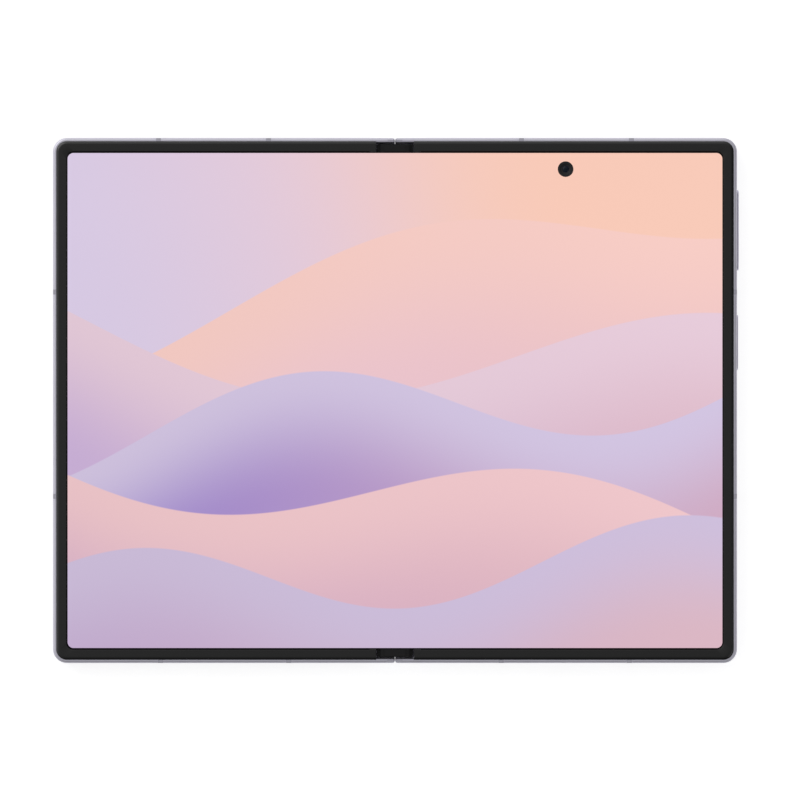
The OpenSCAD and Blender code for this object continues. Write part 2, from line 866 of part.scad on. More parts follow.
module flash_led() {
    color(flash_colour) {
        post(bump_x - flash_side, cam_ys[0], flash_d / 2, back_z, glass_z);
        block(
            [bump_x - flash_side - flash_d / 2, cam_ys[0] - flash_d / 2, glass_z],
            [bump_x - flash_side + flash_d / 2, cam_ys[0] + flash_d / 2, board_z - glue]);
    }
}

module front_camera() {
    color(plastic_colour) {
        block(
            [front_cam_x - front_cam_box, front_cam_y - front_cam_box, glass_z + 0.9],
            [front_cam_x + front_cam_box, front_cam_y + front_cam_box, inner_z]);
        difference() {
            post(front_cam_x, front_cam_y, front_cam_d / 2 - 0.15, inner_z - fit, panel_z - 0.45);
            post(front_cam_x, front_cam_y, front_lens_r, panel_z - 1, top_z);
        }
    }
}

module front_camera_glass() {
    color(lens_colour)
        post(front_cam_x, front_cam_y, front_cam_d / 2 - 0.1, panel_z - 0.45, panel_z - 0.1);
}

module cover_camera() {
    color(plastic_colour)
        mirror([1, 0, 0]) {
            block(
                [cover_cam_x - cover_cam_box, cover_cam_y - cover_cam_box,
                    glass_z + cover_panel_t + 0.1],
                [cover_cam_x + cover_cam_box, cover_cam_y + cover_cam_box, inner_z]);
            post(cover_cam_x, cover_cam_y, cover_cam_r, glass_z + glue, glass_z + 1);
        }
}

// ---------- keys and ports ----------

// Key: a stadium through the side wall with a wider flange behind the wall
module side_key(y, l, proud) {
    color(metal_colour) {
        side_stadium(key_back_x + 0.1, half_w + proud, y, key_z, l, key_t);
        block(
            [key_back_x, y - l / 2 - key_flange, key_z - key_t / 2],
            [half_w - wall_t - run, y + l / 2 + key_flange, key_z + key_t / 2]);
    }
}

module volume_key() {
    side_key(volume_y, volume_l, volume_proud);
}

module power_key() {
    side_key(power_y, power_l, power_proud);
}

// Switch domes behind the keys, on a strip that stands on the mid-plate
module key_switches() {
    strip_x = switch_x - switch_h;
    color(steel_colour)
        for (key = [
            [volume_y, volume_l / 2 - switch_end, volume_l], [power_y, 0, power_l]
        ]) {
            block(
                [strip_x - switch_strip, key[0] - key[2] / 2, key_z - key_t / 2],
                [strip_x, key[0] + key[2] / 2, inner_z]);
            for (side = [-1, 1])
                translate([strip_x - fit, key[0] + side * key[1], key_z])
                    rotate([0, 90, 0]) cylinder(h = switch_h + fit, r = switch_r);
        }
}

// Charging port: a stadium shell with a tongue
module usb_socket() {
    shell_w = port_w + 2 * port_wall;
    shell_h = port_h + 2 * port_wall;
    color(steel_colour) {
        difference() {
            end_stadium(-half_h + 0.3, port_inner_y, port_x, port_z, shell_w, shell_h);
            end_stadium(
                -half_h - over, port_inner_y - port_back_t, port_x, port_z, port_w, port_h);
        }
        block(
            [port_x - tongue_w / 2, -half_h + 1.6, port_z - tongue_t / 2],
            [port_x + tongue_w / 2, port_inner_y - port_back_t + 0.1, port_z + tongue_t / 2]);
    }
}

// Card tray: a flat frame with a recess, and the face that closes the wall
module sim_tray() {
    face_x = half_w - 0.05;
    wall_x = half_w - wall_t + 0.2;
    color(metal_colour)
        mirror([1, 0, 0]) {
            difference() {
                side_stadium(wall_x, face_x, -tray_y, tray_z, tray_l + 2 * tray_lip, tray_face);
                translate([face_x - tray_pin_depth, -tray_y - tray_pin_y, tray_z])
                    rotate([0, 90, 0]) cylinder(h = tray_pin_depth + over, r = tray_pin_d / 2);
            }
            difference() {
                block(
                    [face_x - tray_d, -tray_y - tray_l / 2, tray_z - tray_t / 2],
                    [wall_x + fit, -tray_y + tray_l / 2, tray_z + tray_t / 2]);
                block(
                    [face_x - tray_d + 1.5, -tray_y - tray_l / 2 + 0.8, tray_z - 0.05],
                    [wall_x - 2.5, -tray_y + tray_l / 2 - 0.8, tray_z + tray_t]);
            }
        }
}

// Card reader: a metal sleeve around the tray, open towards the side wall
module sim_reader() {
    x0 = half_w - tray_d - 1;
    x1 = half_w - wall_t - 0.4;
    half_l = tray_l / 2 + key_gap;
    shell = 0.3;
    color(steel_colour)
        mirror([1, 0, 0])
            difference() {
                block(
                    [x0, -tray_y - half_l - shell, tray_z - tray_t / 2 - key_gap - shell],
                    [x1, -tray_y + half_l + shell, inner_z]);
                block(
                    [x0 + shell, -tray_y - half_l, tray_z - tray_t / 2 - key_gap],
                    [x1 + over, -tray_y + half_l, tray_z + tray_t / 2 + key_gap]);
            }
}

// ---------- boards, batteries and the rest of the right half ----------

// Window in the board around the housing of a camera, half its side given
module camera_window(x, y, half_side) {
    half = half_side + camera_room;
    block([x - half, y - half, 0], [x + half, y + half, top_z]);
}

// Main board, between the battery and the side wall, with windows for the cameras
module main_board() {
    color(board_colour)
        difference() {
            union() {
                block([board_x0, -board_low, board_z], [board_x1, board_y1, board_z + board_t]);
                block(
                    [battery_start + board_edge, right_battery_y + board_edge, board_z],
                    [board_x0 + over, board_y1, board_z + board_t]);
            }
            for (y = cam_ys)
                camera_window(bump_x, y, cam_box / 2);
            camera_window(front_cam_x, front_cam_y, front_cam_box);
        }
}

// Shield cans between the board and the mid-plate
module board_shields() {
    z0 = board_z + board_t;
    color(steel_colour)
        for (can = cans)
            difference() {
                block([can[0], can[1], z0], [can[2], can[3], inner_z]);
                block(
                    [can[0] + can_t, can[1] + can_t, z0 - over],
                    [can[2] - can_t, can[3] - can_t, inner_z - can_t]);
            }
}

// Lower board, round the charging port, with two parts on it
module lower_board() {
    y0 = -half_h + wall_t + board_edge;
    z1 = lower_board_z + board_t;
    color(board_colour)
        difference() {
            block([lower_board_x0, y0, lower_board_z], [lower_board_x1, lower_board_y1, z1]);
            block(
                [port_x - port_w / 2 - port_wall - 0.1, -half_h, 0],
                [port_x + port_w / 2 + port_wall + 0.1, port_inner_y + 0.1, top_z]);
        }
    color(steel_colour)
        for (x = [lower_board_x0 + board_edge, lower_board_x1 - board_edge - part_l])
            block(
                [x, y0 + board_edge, z1],
                [x + part_l, lower_board_y1 - board_edge, inner_z]);
}

module right_battery() {
    color(battery_colour)
        block(
            [battery_start, -right_battery_y, inner_z - battery_t],
            [battery_start + right_battery_w, right_battery_y, inner_z]);
}

// Charging coil: a flat ring of wire on a thin sheet behind the rear glass
module wireless_coil() {
    color(copper_colour)
        difference() {
            post(coil_x, coil_y, coil_d / 2, glass_z, glass_z + coil_t);
            post(coil_x, coil_y, coil_bore_d / 2, 0, top_z);
        }
}

module vibration_motor() {
    color(steel_colour)
        block(
            [motor_x, motor_y, inner_z - motor_h],
            [motor_x + motor_l, motor_y + motor_w, inner_z]);
}

// Magnets along the outer side that hold the phone closed
module half_magnets() {
    both_ends()
        block(
            [magnet_x - magnet_w, magnet_y - magnet_l, inner_z - magnet_h],
            [magnet_x, magnet_y, inner_z]);
}

module right_magnets() {
    color(spring_steel_colour) half_magnets();
}

module left_magnets() {
    color(spring_steel_colour) mirror([1, 0, 0]) half_magnets();
}

// ---------- left half ----------

module left_battery() {
    color(battery_colour)
        mirror([1, 0, 0])
            block(
                [battery_start, -left_battery_y, left_battery_z],
                [battery_start + left_battery_w, left_battery_y, inner_z]);
}

// Board of the left half, with three shielded parts
module left_board() {
    z1 = inner_z - part_h;
    color(board_colour)
        mirror([1, 0, 0])
            block(
                [left_board_x0, -left_board_low, z1 - board_t],
                [board_x1, left_board_l - left_board_low, z1]);
    color(steel_colour)
        mirror([1, 0, 0])
            for (i = [0:2])
                translate([0, 2 * board_edge - left_board_low + i * (left_can_l + left_can_gap), 0])
                    block(
                        [left_board_x0 + 2 * board_edge, 0, z1],
                        [board_x1 - 2 * board_edge, left_can_l, inner_z]);
}

// Box of a speaker behind count slots, from y0 to y1
module speaker_box(count, x_mid, y0, y1) {
    half_l = ((count - 1) * slot_pitch + slot_l) / 2 + speaker_lip;
    color(plastic_colour)
        mirror([1, 0, 0])
            block([x_mid - half_l, y0, inner_z - speaker_h], [x_mid + half_l, y1, inner_z]);
}

module earpiece_speaker() {
    speaker_box(slots_high, speaker_high_x, left_battery_y + board_edge, half_h - wall_t - 0.3);
}

module loudspeaker() {
    speaker_box(slots_low, speaker_low_x, wall_t + 0.3 - half_h, -left_battery_y - board_edge);
}

// ---------- hinge ----------

// Section of a trough of radius r about the virtual axes, cut off at z_high
module trough_2d(r, z_high) {
    intersection() {
        union() {
            for (side = [-1, 1])
                translate([side * axis_x, axis_z]) circle(r);
            translate([-axis_x, axis_z - r]) square([2 * axis_x, r]);
        }
        translate([-2 * r, 0]) square([4 * r, z_high]);
    }
}

// Where the right swing arms and the sync levers pass over the edge of the spine
module spine_notches(arm_y) {
    for (pass = [[arm_y, arm_w], [module_y, gear_slot_w]])
        both_ends()
            block(
                [axis_x + arm_in_r, pass[0] - pass[1] / 2 - 0.2, notch_z],
                [axis_x + spine_r + over, pass[0] + pass[1] / 2 + 0.2, axis_z]);
}

module spine_cover() {
    color(metal_colour)
        difference() {
            along_hinge(0, 2 * spine_y) trough_2d(spine_r, spine_top_z);
            along_hinge(0, 3 * spine_y) trough_2d(bowl_r, axis_z + over);
            spine_notches(right_arm_y);
            mirror([1, 0, 0]) spine_notches(left_arm_y);
            both_ends()
                for (y = bracket_screw_ys)
                    post(0, y, bracket_screw_r, bracket_tip_z, axis_z);
        }
}

// Room in a bracket for the right swing arm, all the way from open to closed
module arm_sweep_2d() {
    far = 3 * spine_r;
    translate([axis_x, axis_z])
        intersection() {
            difference() {
                circle(2 * spine_r);
                circle(arm_in_r - run);
            }
            polygon(concat(
                [[0, 0]],
                [for (a = [arm_from - 2:30:arm_to + 105]) [far * cos(a), far * sin(a)]]));
        }
}

// Bracket of one hinge module: a block in the trough with two curved rails
module bracket() {
    difference() {
        along_hinge(module_y, module_l) trough_2d(bowl_r - fit, bracket_z);
        along_hinge(right_arm_y, arm_w + 0.2) arm_sweep_2d();
        mirror([1, 0, 0]) along_hinge(left_arm_y, arm_w + 0.2) arm_sweep_2d();
        block(
            [-2 * spine_r, module_y - gear_slot_w / 2, gear_z - gear_tip_r - 0.1],
            [2 * spine_r, module_y + gear_slot_w / 2, top_z]);
        module_pins();
        for (y = bracket_screw_ys) {
            post(0, y, bracket_screw_r, 0, axis_z);
            post(0, y, bracket_head_r + fit, bracket_head_z, axis_z);
        }
    }
}

// The four gear pins of one hinge module, pressed into its bracket
module module_pins() {
    for (x = gear_xs)
        translate([x, module_y + pin_l / 2, gear_z])
            rotate([90, 0, 0]) cylinder(h = pin_l, r = pin_d / 2);
}

module hinge_brackets() {
    color(steel_colour) both_ends() bracket();
}

module bracket_screws() {
    color(spring_steel_colour)
        both_ends()
            for (y = bracket_screw_ys) {
                post(0, y, bracket_screw_r, bracket_tip_z, bracket_head_z + fit);
                difference() {
                    post(0, y, bracket_head_r, bracket_head_z, bracket_head_z + screw_head_h);
                    translate([0, y, bracket_head_z + screw_head_h - socket_depth])
                        cylinder(h = over, r = socket_r, $fn = 6);
                }
            }
}

module gear_pins() {
    color(spring_steel_colour) both_ends() module_pins();
}

// Toothed ring with a bore for its pin, one tooth at the angle phase
module gear_2d(phase) {
    pitch = 360 / gear_teeth;
    difference() {
        union() {
            circle(gear_root_r);
            for (i = [0:gear_teeth - 1])
                rotate(phase + i * pitch)
                    polygon([
                        [0.5 * gear_root_r, -0.6 * gear_module],
                        [gear_r, -0.58 * gear_module],
                        [gear_tip_r, -0.3 * gear_module],
                        [gear_tip_r, 0.3 * gear_module],
                        [gear_r, 0.58 * gear_module],
                        [0.5 * gear_root_r, 0.6 * gear_module]
                    ]);
        }
        circle(gear_bore_r);
    }
}

// Idler gear, its tooth at the angle phase
module idler_gear(x, phase) {
    both_ends()
        along_hinge(module_y, gear_w) translate([x, gear_z]) gear_2d(phase);
}

// Outer gear in one piece with the lever that slides in the pocket of the half
module sync_gear(phase) {
    both_ends() {
        along_hinge(module_y, gear_w) translate([3 * gear_r, gear_z]) gear_2d(phase);
        along_hinge(module_y, lever_w)
            translate([3 * gear_r, gear_z])
                difference() {
                    translate([0.3, 0.05]) square([lever_reach - 3 * gear_r - 0.3, tab_t - 0.1]);
                    circle(gear_bore_r);
                }
    }
}

module right_sync_gears() {
    color(steel_colour) sync_gear(0);
}

module left_sync_gears() {
    color(steel_colour) mirror([1, 0, 0]) sync_gear(half_tooth);
}

module right_idler_gears() {
    color(steel_colour) idler_gear(gear_r, half_tooth);
}

module left_idler_gears() {
    color(steel_colour) idler_gear(-gear_r, 0);
}

// Swing arm: a curved shoe that runs in the bracket, and a flat tab on the mid-plate
module swing_arm(y) {
    both_ends()
        difference() {
            along_hinge(y, arm_w) {
                translate([axis_x, axis_z])
                    intersection() {
                        difference() {
                            circle(arm_out_r);
                            circle(arm_in_r);
                        }
                        polygon(concat(
                            [[0, 0]],
                            [for (a = [arm_from, 300, arm_to])
                                [2 * spine_r * cos(a), 2 * spine_r * sin(a)]]));
                    }
                difference() {
                    translate([axis_x, tab_z]) square([arm_reach - axis_x, tab_t]);
                    translate([axis_x, axis_z]) circle(arm_in_r + 0.1);
                }
            }
            for (x = arm_screws_x)
                post(x, y, screw_d / 2, 0, top_z);
        }
}

module right_swing_arms() {
    color(spring_steel_colour) swing_arm(right_arm_y);
}

module left_swing_arms() {
    color(spring_steel_colour) mirror([1, 0, 0]) swing_arm(left_arm_y);
}

// Screws that hold the swing arms to the mid-plate, heads towards the rear
module arm_screws(y) {
    both_ends()
        for (x = arm_screws_x) {
            post(x, y, screw_d / 2, tab_z - fit, ledge_z - 0.15);
            difference() {
                post(x, y, arm_head_r, tab_z - screw_head_h, tab_z);
                translate([x, y, tab_z - screw_head_h - over + socket_depth])
                    cylinder(h = over, r = socket_r, $fn = 6);
            }
        }
}

module right_hinge_screws() {
    color(steel_colour) arm_screws(right_arm_y);
}

module left_hinge_screws() {
    color(steel_colour) mirror([1, 0, 0]) arm_screws(left_arm_y);
}

// Wing plate: a round bead in the seat of the mid-plate, and a plate under the fold
module wing_plate() {
    window_l = module_l + 2 * module_room;
    difference() {
        along_hinge(0, 2 * wing_y)
            translate([wing_tip_x, wing_pivot_z + bead_r - wing_t])
                square([wing_pivot_x - wing_tip_x, wing_t]);
        both_ends()
            block(
                [0, module_y - window_l / 2, 0],
                [wing_pivot_x, module_y + window_l / 2, top_z]);
    }
    along_hinge(0, 2 * wing_y) translate([wing_pivot_x, wing_pivot_z]) circle(bead_r);
}

module right_wing_plate() {
    color(steel_colour) wing_plate();
}

module left_wing_plate() {
    color(steel_colour) mirror([1, 0, 0]) wing_plate();
}

// Rail down the middle of the spine that carries the fold of the display,
// with a rib down to the floor of the trough between the hinge modules
module centre_support_rail() {
    color(steel_colour)
        difference() {
            along_hinge(0, 2 * wing_y) {
                translate([-rail_w / 2, rail_low_z]) square([rail_w, rail_top_z - rail_low_z]);
                translate([-rib_t / 2, floor_z + fit])
                    square([rib_t, rail_top_z - floor_z - fit]);
            }
            both_ends()
                block(
                    [-rail_w, module_y - module_l / 2 - 0.1, 0],
                    [rail_w, module_y + module_l / 2 + 0.1, max(rail_low_z, bracket_z + fit)]);
        }
}

// End cap: closes the trough and shows as a stepped plate beside the display
module hinge_end_caps() {
    y_mid = spine_y - cap_l / 2;
    color(bezel_colour)
        both_ends() {
            along_hinge(y_mid, cap_l) {
                trough_2d(bowl_r - fit, spine_top_z);
                translate([-cap_plate_w / 2, cap_low_z])
                    square([cap_plate_w, panel_z - cap_step - cap_low_z]);
            }
            along_hinge(y_mid, cap_l - 2 * spine_gap)
                translate([-cap_pad_w / 2, cap_low_z]) square([cap_pad_w, panel_z - cap_low_z]);
        }
}

right_frame();
right_antenna_bands();
right_bezel();
right_back_glass();
camera_island();
main_camera();
ultrawide_camera();
telephoto_camera();
camera_lens_glass();
flash_led();
front_camera();
front_camera_glass();
volume_key();
power_key();
key_switches();
usb_socket();
main_board();
board_shields();
lower_board();
right_battery();
wireless_coil();
vibration_motor();
right_magnets();
right_hinge_screws();
right_swing_arms();
right_display_backer();
display_right();
left_frame();
left_antenna_bands();
left_bezel();
cover_glass();
cover_display_panel();
cover_camera();
left_battery();
left_board();
earpiece_speaker();
loudspeaker();
sim_reader();
sim_tray();
left_magnets();
left_hinge_screws();
left_swing_arms();
left_display_backer();
display_left();
spine_cover();
hinge_brackets();
centre_support_rail();
gear_pins();
bracket_screws();
hinge_end_caps();
right_wing_plate();
left_wing_plate();
right_sync_gears();
right_idler_gears();
left_idler_gears();
left_sync_gears();
display_fold();
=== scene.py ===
"""Foldable smartphone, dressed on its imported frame.

Lengths are millimetres in the part's own frame: +X across the fold towards the half with the
keys, +Y along the hinge, +Z out of the inner display. A mesh gets metres when it is made.
"""

import json
import logging
import math
from collections.abc import Sequence
from dataclasses import dataclass, field
from enum import Enum

import bmesh
import bpy
import numpy as np
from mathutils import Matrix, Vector


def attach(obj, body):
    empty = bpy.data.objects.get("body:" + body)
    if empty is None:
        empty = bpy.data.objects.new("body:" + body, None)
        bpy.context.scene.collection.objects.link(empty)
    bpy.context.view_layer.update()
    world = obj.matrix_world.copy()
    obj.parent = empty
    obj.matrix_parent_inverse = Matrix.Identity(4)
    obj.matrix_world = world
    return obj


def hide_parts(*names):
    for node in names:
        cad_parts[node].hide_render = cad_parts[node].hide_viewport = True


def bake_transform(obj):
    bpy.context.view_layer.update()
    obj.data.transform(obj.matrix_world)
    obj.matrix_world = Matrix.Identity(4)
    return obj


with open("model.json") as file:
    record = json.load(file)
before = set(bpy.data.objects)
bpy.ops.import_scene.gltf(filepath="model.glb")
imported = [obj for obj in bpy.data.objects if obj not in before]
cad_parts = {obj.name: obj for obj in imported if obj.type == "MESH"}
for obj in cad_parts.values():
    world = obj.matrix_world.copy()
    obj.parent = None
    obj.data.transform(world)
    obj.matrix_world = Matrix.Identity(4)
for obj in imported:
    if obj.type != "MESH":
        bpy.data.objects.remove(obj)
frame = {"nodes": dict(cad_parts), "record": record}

logging.basicConfig(level=logging.INFO, format="%(message)s")
log = logging.getLogger("phone")

Array = np.ndarray
Pair = tuple[float, float]
Triple = tuple[float, float, float]
Colour = Triple
Socket = bpy.types.NodeSocket
Thing = bpy.types.Object

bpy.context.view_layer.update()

# Metres in a millimetre, and millimetres in a unit of the flat map
MM = 0.001
UV_UNIT = 100.0
# Chords of a rounded edge, and of a quarter circle in a section
EDGE_STEPS = 6
ROUND_STEPS = 10
# A round end stays this much under half the width, so that no side has length 0; and the
# smallest corner radius
MIN_SIDE = 0.001
MIN_RADIUS = 0.01
# Points nearer than this, in metres, become one
WELD = 1e-7
# Edges past this angle, in degrees, stay crisp
SHARP = 32.0
WHITE = (1.0, 1.0, 1.0)


class Side(Enum):
    """The two halves, by the sign of their X."""

    RIGHT = 1
    LEFT = -1

    @property
    def body(self) -> str:
        """Name of the CAD body of this half."""
        return f"{self.name.lower()}_half"

    def node(self, part: str) -> str:
        """Name of this half's copy of a CAD node."""
        return f"{self.name.lower()}_{part}"


class Axis(Enum):
    """Direction along which flat loops are stacked."""

    X = 0
    Y = 1
    Z = 2


class Slot(Enum):
    """Material slots of the record."""

    FRAME = "frame_metal"
    KEY = "key_metal"
    BAND = "antenna_plastic"
    BEZEL = "bezel_plastic"
    REAR = "rear_glass"
    COVER = "cover_glass"
    LENS = "lens_glass"
    DISPLAY = "display"
    PANEL = "cover_panel"
    STEEL = "steel"
    ARM = "arm_steel"
    MAGNET = "magnet"
    PLASTIC = "black_plastic"
    FLASH = "flash"
    BOARD = "circuit_board"
    BATTERY = "battery_foil"
    COPPER = "copper"


def tone(red: float, green: float, blue: float) -> Colour:
    """Linear colour of a display colour given from 0 to 255, by the display's own curve.

    Args:
        red, green, blue: the channels as a screen shows them.

    Returns:
        The three linear channels from 0 to 1.
    """
    value = np.array([red, green, blue]) / 255
    curved = np.where(value <= 0.04045, value / 12.92, ((value + 0.055) / 1.055) ** 2.4)
    return tuple(float(c) for c in curved)


# ---------- surfaces ----------


@dataclass
class Surface:
    """Points in millimetres and the faces that join them."""

    points: Array
    faces: list[list[int]]

    def __add__(self, other: "Surface") -> "Surface":
        """Both surfaces as one, with the second one's faces counted on.

        Args:
            other: the second surface.

        Returns:
            The surface of both.
        """
        shift = len(self.points)
        moved = [[i + shift for i in face] for face in other.faces]
        return Surface(np.concatenate([self.points, other.points]), self.faces + moved)

    def mirrored(self, x: int = 1, y: int = 1) -> "Surface":
        """This surface with its x and its y times 1 or -1."""
        return Surface(self.points * np.array([x, y, 1.0]), self.faces)

    def turned(self, side: Side) -> "Surface":
        """This surface for that half: the left one is the mirror image in x = 0."""
        return self.mirrored(x=side.value)

    def doubled(self) -> "Surface":
        """This surface and its mirror image in y = 0."""
        return self + self.mirrored(y=-1)


def joined(parts: Sequence[Surface]) -> Surface:
    """All the parts as one surface.

    Args:
        parts: one surface or more.

    Returns:
        The surface of all.
    """
    total = parts[0]
    for part in parts[1:]:
        total = total + part
    return total


def arc(centre: Pair, radius: float, start: float, end: float, steps: int) -> Array:
    """Points on a circle: the centre plus the radius times (cosine, sine) of even angles.

    Args:
        centre: centre of the circle.
        radius: its radius.
        start, end: first and last angle in degrees.
        steps: number of chords.

    Returns:
        An array of steps + 1 points in the plane.
    """
    angle = np.radians(np.linspace(start, end, steps + 1))
    return np.array(centre) + radius * np.stack([np.cos(angle), np.sin(angle)], axis=1)


def rounded_loop(low: Pair, high: Pair, radii: Sequence[float], steps: int = 12) -> Array:
    """Outline of a rectangle with a quarter circle in each corner.

    Args:
        low, high: opposite corners of the rectangle.
        radii: corner radii, anticlockwise from the upper right one.
        steps: chords in each corner.

    Returns:
        The closed outline, anticlockwise, without a repeated point.
    """
    corners = ((high[0], high[1]), (low[0], high[1]), (low[0], low[1]), (high[0], low[1]))
    inward = ((-1, -1), (1, -1), (1, 1), (-1, 1))
    parts = []
    for count, (corner, way, radius) in enumerate(zip(corners, inward, radii)):
        r = max(radius, MIN_RADIUS)
        centre = (corner[0] + way[0] * r, corner[1] + way[1] * r)
        parts.append(arc(centre, r, 90 * count, 90 * count + 90, steps))
    return np.concatenate(parts)


def stadium(centre: Pair, length: float, height: float, grow: float = 0.0, steps: int = 10) -> Array:
    """Outline of a slot with round ends, its length along the first coordinate.

    Args:
        centre: middle of the slot.
        length, height: its size.
        grow: distance by which the outline moves outwards.
        steps: chords in each quarter of the round ends.

    Returns:
        The closed outline.
    """
    half = np.array([length / 2 + grow, height / 2 + grow])
    low, high = np.array(centre) - half, np.array(centre) + half
    return rounded_loop(tuple(low), tuple(high), [half.min() - MIN_SIDE] * 4, steps)


def ring_loop(centre: Pair, radius: float, steps: int = 64) -> Array:
    """Outline of a circle, without a repeated point."""
    return arc(centre, radius, 0, 360, steps)[:-1]


def spread(middle: float, count: int, pitch: float) -> Array:
    """Places of a row at an even pitch about its middle."""
    return middle + (np.arange(count) - (count - 1) / 2) * pitch


def quarter_round(radius: float) -> Array:
    """Rows of inset and depth along a quarter circle, from the face to the side."""
    angle = np.radians(np.linspace(90, 0, EDGE_STEPS + 1))
    return radius * (1 - np.stack([np.cos(angle), np.sin(angle)], axis=1))


def dome(radius: float, z: float, rise: float, last: float, steps: int) -> Array:
    """Profile of a dome: the radius times the cosine, and z plus the rise times the sine.

    Args:
        radius: radius at the foot.
        z: level of the foot.
        rise: height of the whole dome, negative where it points down.
        last: angle in degrees at which the profile ends; the foot is at 0.
        steps: number of chords.

    Returns:
        Rows of radius and level.
    """
    turn = np.radians(np.linspace(0, last, steps + 1))
    return np.column_stack([radius * np.cos(turn), z + rise * np.sin(turn)])


def stack(loops: Sequence[tuple[Array, float]], axis: Axis) -> Surface:
    """Solid through flat loops of equal count: point k of a loop joins point k of the next one.

    Args:
        loops: pairs of an outline and its level along the axis.
        axis: the direction of the levels.

    Returns:
        The closed surface, with a flat face on the first and the last loop.
    """
    rings = [np.insert(outline, axis.value, level, axis=1) for outline, level in loops]
    return loft(np.array(rings))


def loft(rings: Array) -> Surface:
    """Solid over a grid of points with one row for each ring.

    Args:
        rings: array of rings, points and coordinates.

    Returns:
        Quads between neighbouring rings, and the two end faces.
    """
    count, size = rings.shape[:2]
    index = np.arange(count * size).reshape(count, size)
    ahead = np.roll(index, -1, axis=1)
    quads = np.stack([index[:-1], ahead[:-1], ahead[1:], index[1:]], axis=-1).reshape(-1, 4)
    ends = [index[0][::-1].tolist(), index[-1].tolist()]
    return Surface(rings.reshape(-1, 3), quads.tolist() + ends)


def lathe(centre: Pair, profile: Array, steps: int = 64) -> Surface:
    """Solid of revolution about an upright axis: every (radius, z) goes round a full circle.

    Args:
        centre: place of the axis in the plane.
        profile: radii and levels, from one flat end to the other.
        steps: points on each circle.

    Returns:
        The closed surface.
    """
    return stack([(ring_loop(centre, r, steps), z) for r, z in profile], Axis.Z)


def bore(centre: Pair, radius: float, levels: Pair) -> Surface:
    """Upright cylinder between two levels."""
    return lathe(centre, np.array([(radius, z) for z in levels]))


def block(low: Sequence[float], high: Sequence[float], edge_r: float = 0.02) -> Surface:
    """Box with slightly rounded upright edges between two corners."""
    outline = rounded_loop((low[0], low[1]), (high[0], high[1]), [edge_r] * 4, 2)
    return stack([(outline, low[2]), (outline, high[2])], Axis.Z)


def rounded_plate(low: Pair, high: Pair, radii: Sequence[float], faces: Pair, edge_r: float) -> Surface:
    """Plate whose first face has a rounded edge: its outline draws in along a quarter circle.

    Args:
        low, high: corners of its outline.
        radii: corner radii, anticlockwise from the upper right one.
        faces: level of the rounded face and of the plain one.
        edge_r: radius of the rounding.

    Returns:
        The closed surface.
    """
    way = math.copysign(1.0, faces[1] - faces[0])
    loops = []
    for inset, depth in quarter_round(edge_r):
        outline = rounded_loop(
            (low[0] + inset, low[1] + inset),
            (high[0] - inset, high[1] - inset),
            [r - inset for r in radii],
        )
        loops.append((outline, faces[0] + way * depth))
    loops.append((loops[-1][0], faces[1]))
    return stack(loops, Axis.Z)


@dataclass(frozen=True)
class HalfPath:
    """Outline of a half: from the fold along the top, down the long side, back along the bottom.

    Each row of its table holds the length run so far, the point and the outward normal. The
    corners are quarter circles and the runs between them are straight.
    """

    start_x: float
    half_w: float
    half_h: float
    radius: float
    steps: int = 20
    nearest: float = 0.02

    def table(self) -> Array:
        """Rows of length, x, y, normal x and normal y.

        Returns:
            The rows, in order of their length.
        """
        r = self.radius
        cx, cy = self.half_w - r, self.half_h - r
        turn = np.radians(np.linspace(90, 0, self.steps + 1))
        normal = np.stack([np.cos(turn), np.sin(turn)], axis=1)
        upper = np.concatenate(
            [[[self.start_x, self.half_h, 0, 1]], np.hstack([[cx, cy] + r * normal, normal])]
        )
        lower = upper[::-1] * np.array([1, -1, 1, -1])
        rows = np.concatenate([upper, lower])
        run = np.cumsum(np.hypot(*np.diff(rows[:, :2], axis=0).T))
        return np.column_stack([np.insert(run, 0, 0.0), rows])

    def length_at(self, x: float | None = None, y: float | None = None, top: bool = True) -> float:
        """Length run to a place on a straight: x on the top or the bottom, or y on the side.

        Args:
            x: place on the top or the bottom.
            y: place on the side, in place of x.
            top: whether x is on the top.

        Returns:
            The length.
        """
        table = self.table()
        if y is not None:
            return float(table[self.steps + 1, 0] + self.half_h - self.radius - y)
        return float(x - self.start_x if top else table[-1, 0] - (x - self.start_x))

    def stretch(self, start: float, end: float) -> Array:
        """Rows of the table from one length to another, with the two ends put in between.

        A row nearer to an end than the field nearest is left out.

        Args:
            start, end: the two lengths.

        Returns:
            The rows.
        """
        table = self.table()
        inside = table[(table[:, 0] > start + self.nearest) & (table[:, 0] < end - self.nearest)]
        ends = [[np.interp(s, table[:, 0], column) for column in table.T] for s in (start, end)]
        return np.vstack([ends[:1], inside, ends[1:]])


def drawn_in(rows: Array, inset: Array) -> Array:
    """Grid of flat points: each point of a path less each inset along its normal."""
    return rows[:, None, 1:3] - rows[:, None, 3:5] * inset[None, :, None]


def raised(flat: Array, level: Array) -> Surface:
    """Solid over a grid of flat points, with a level for each of its columns."""
    height = np.broadcast_to(level[None, :, None], flat.shape[:2] + (1,))
    return loft(np.concatenate([flat, height], axis=2))


def sweep(rows: Array, section: Array) -> Surface:
    """Section of (inset, z), a closed loop, carried along the rows of a HalfPath table."""
    return raised(drawn_in(rows, section[:, 0]), section[:, 1])


# ---------- finishes ----------


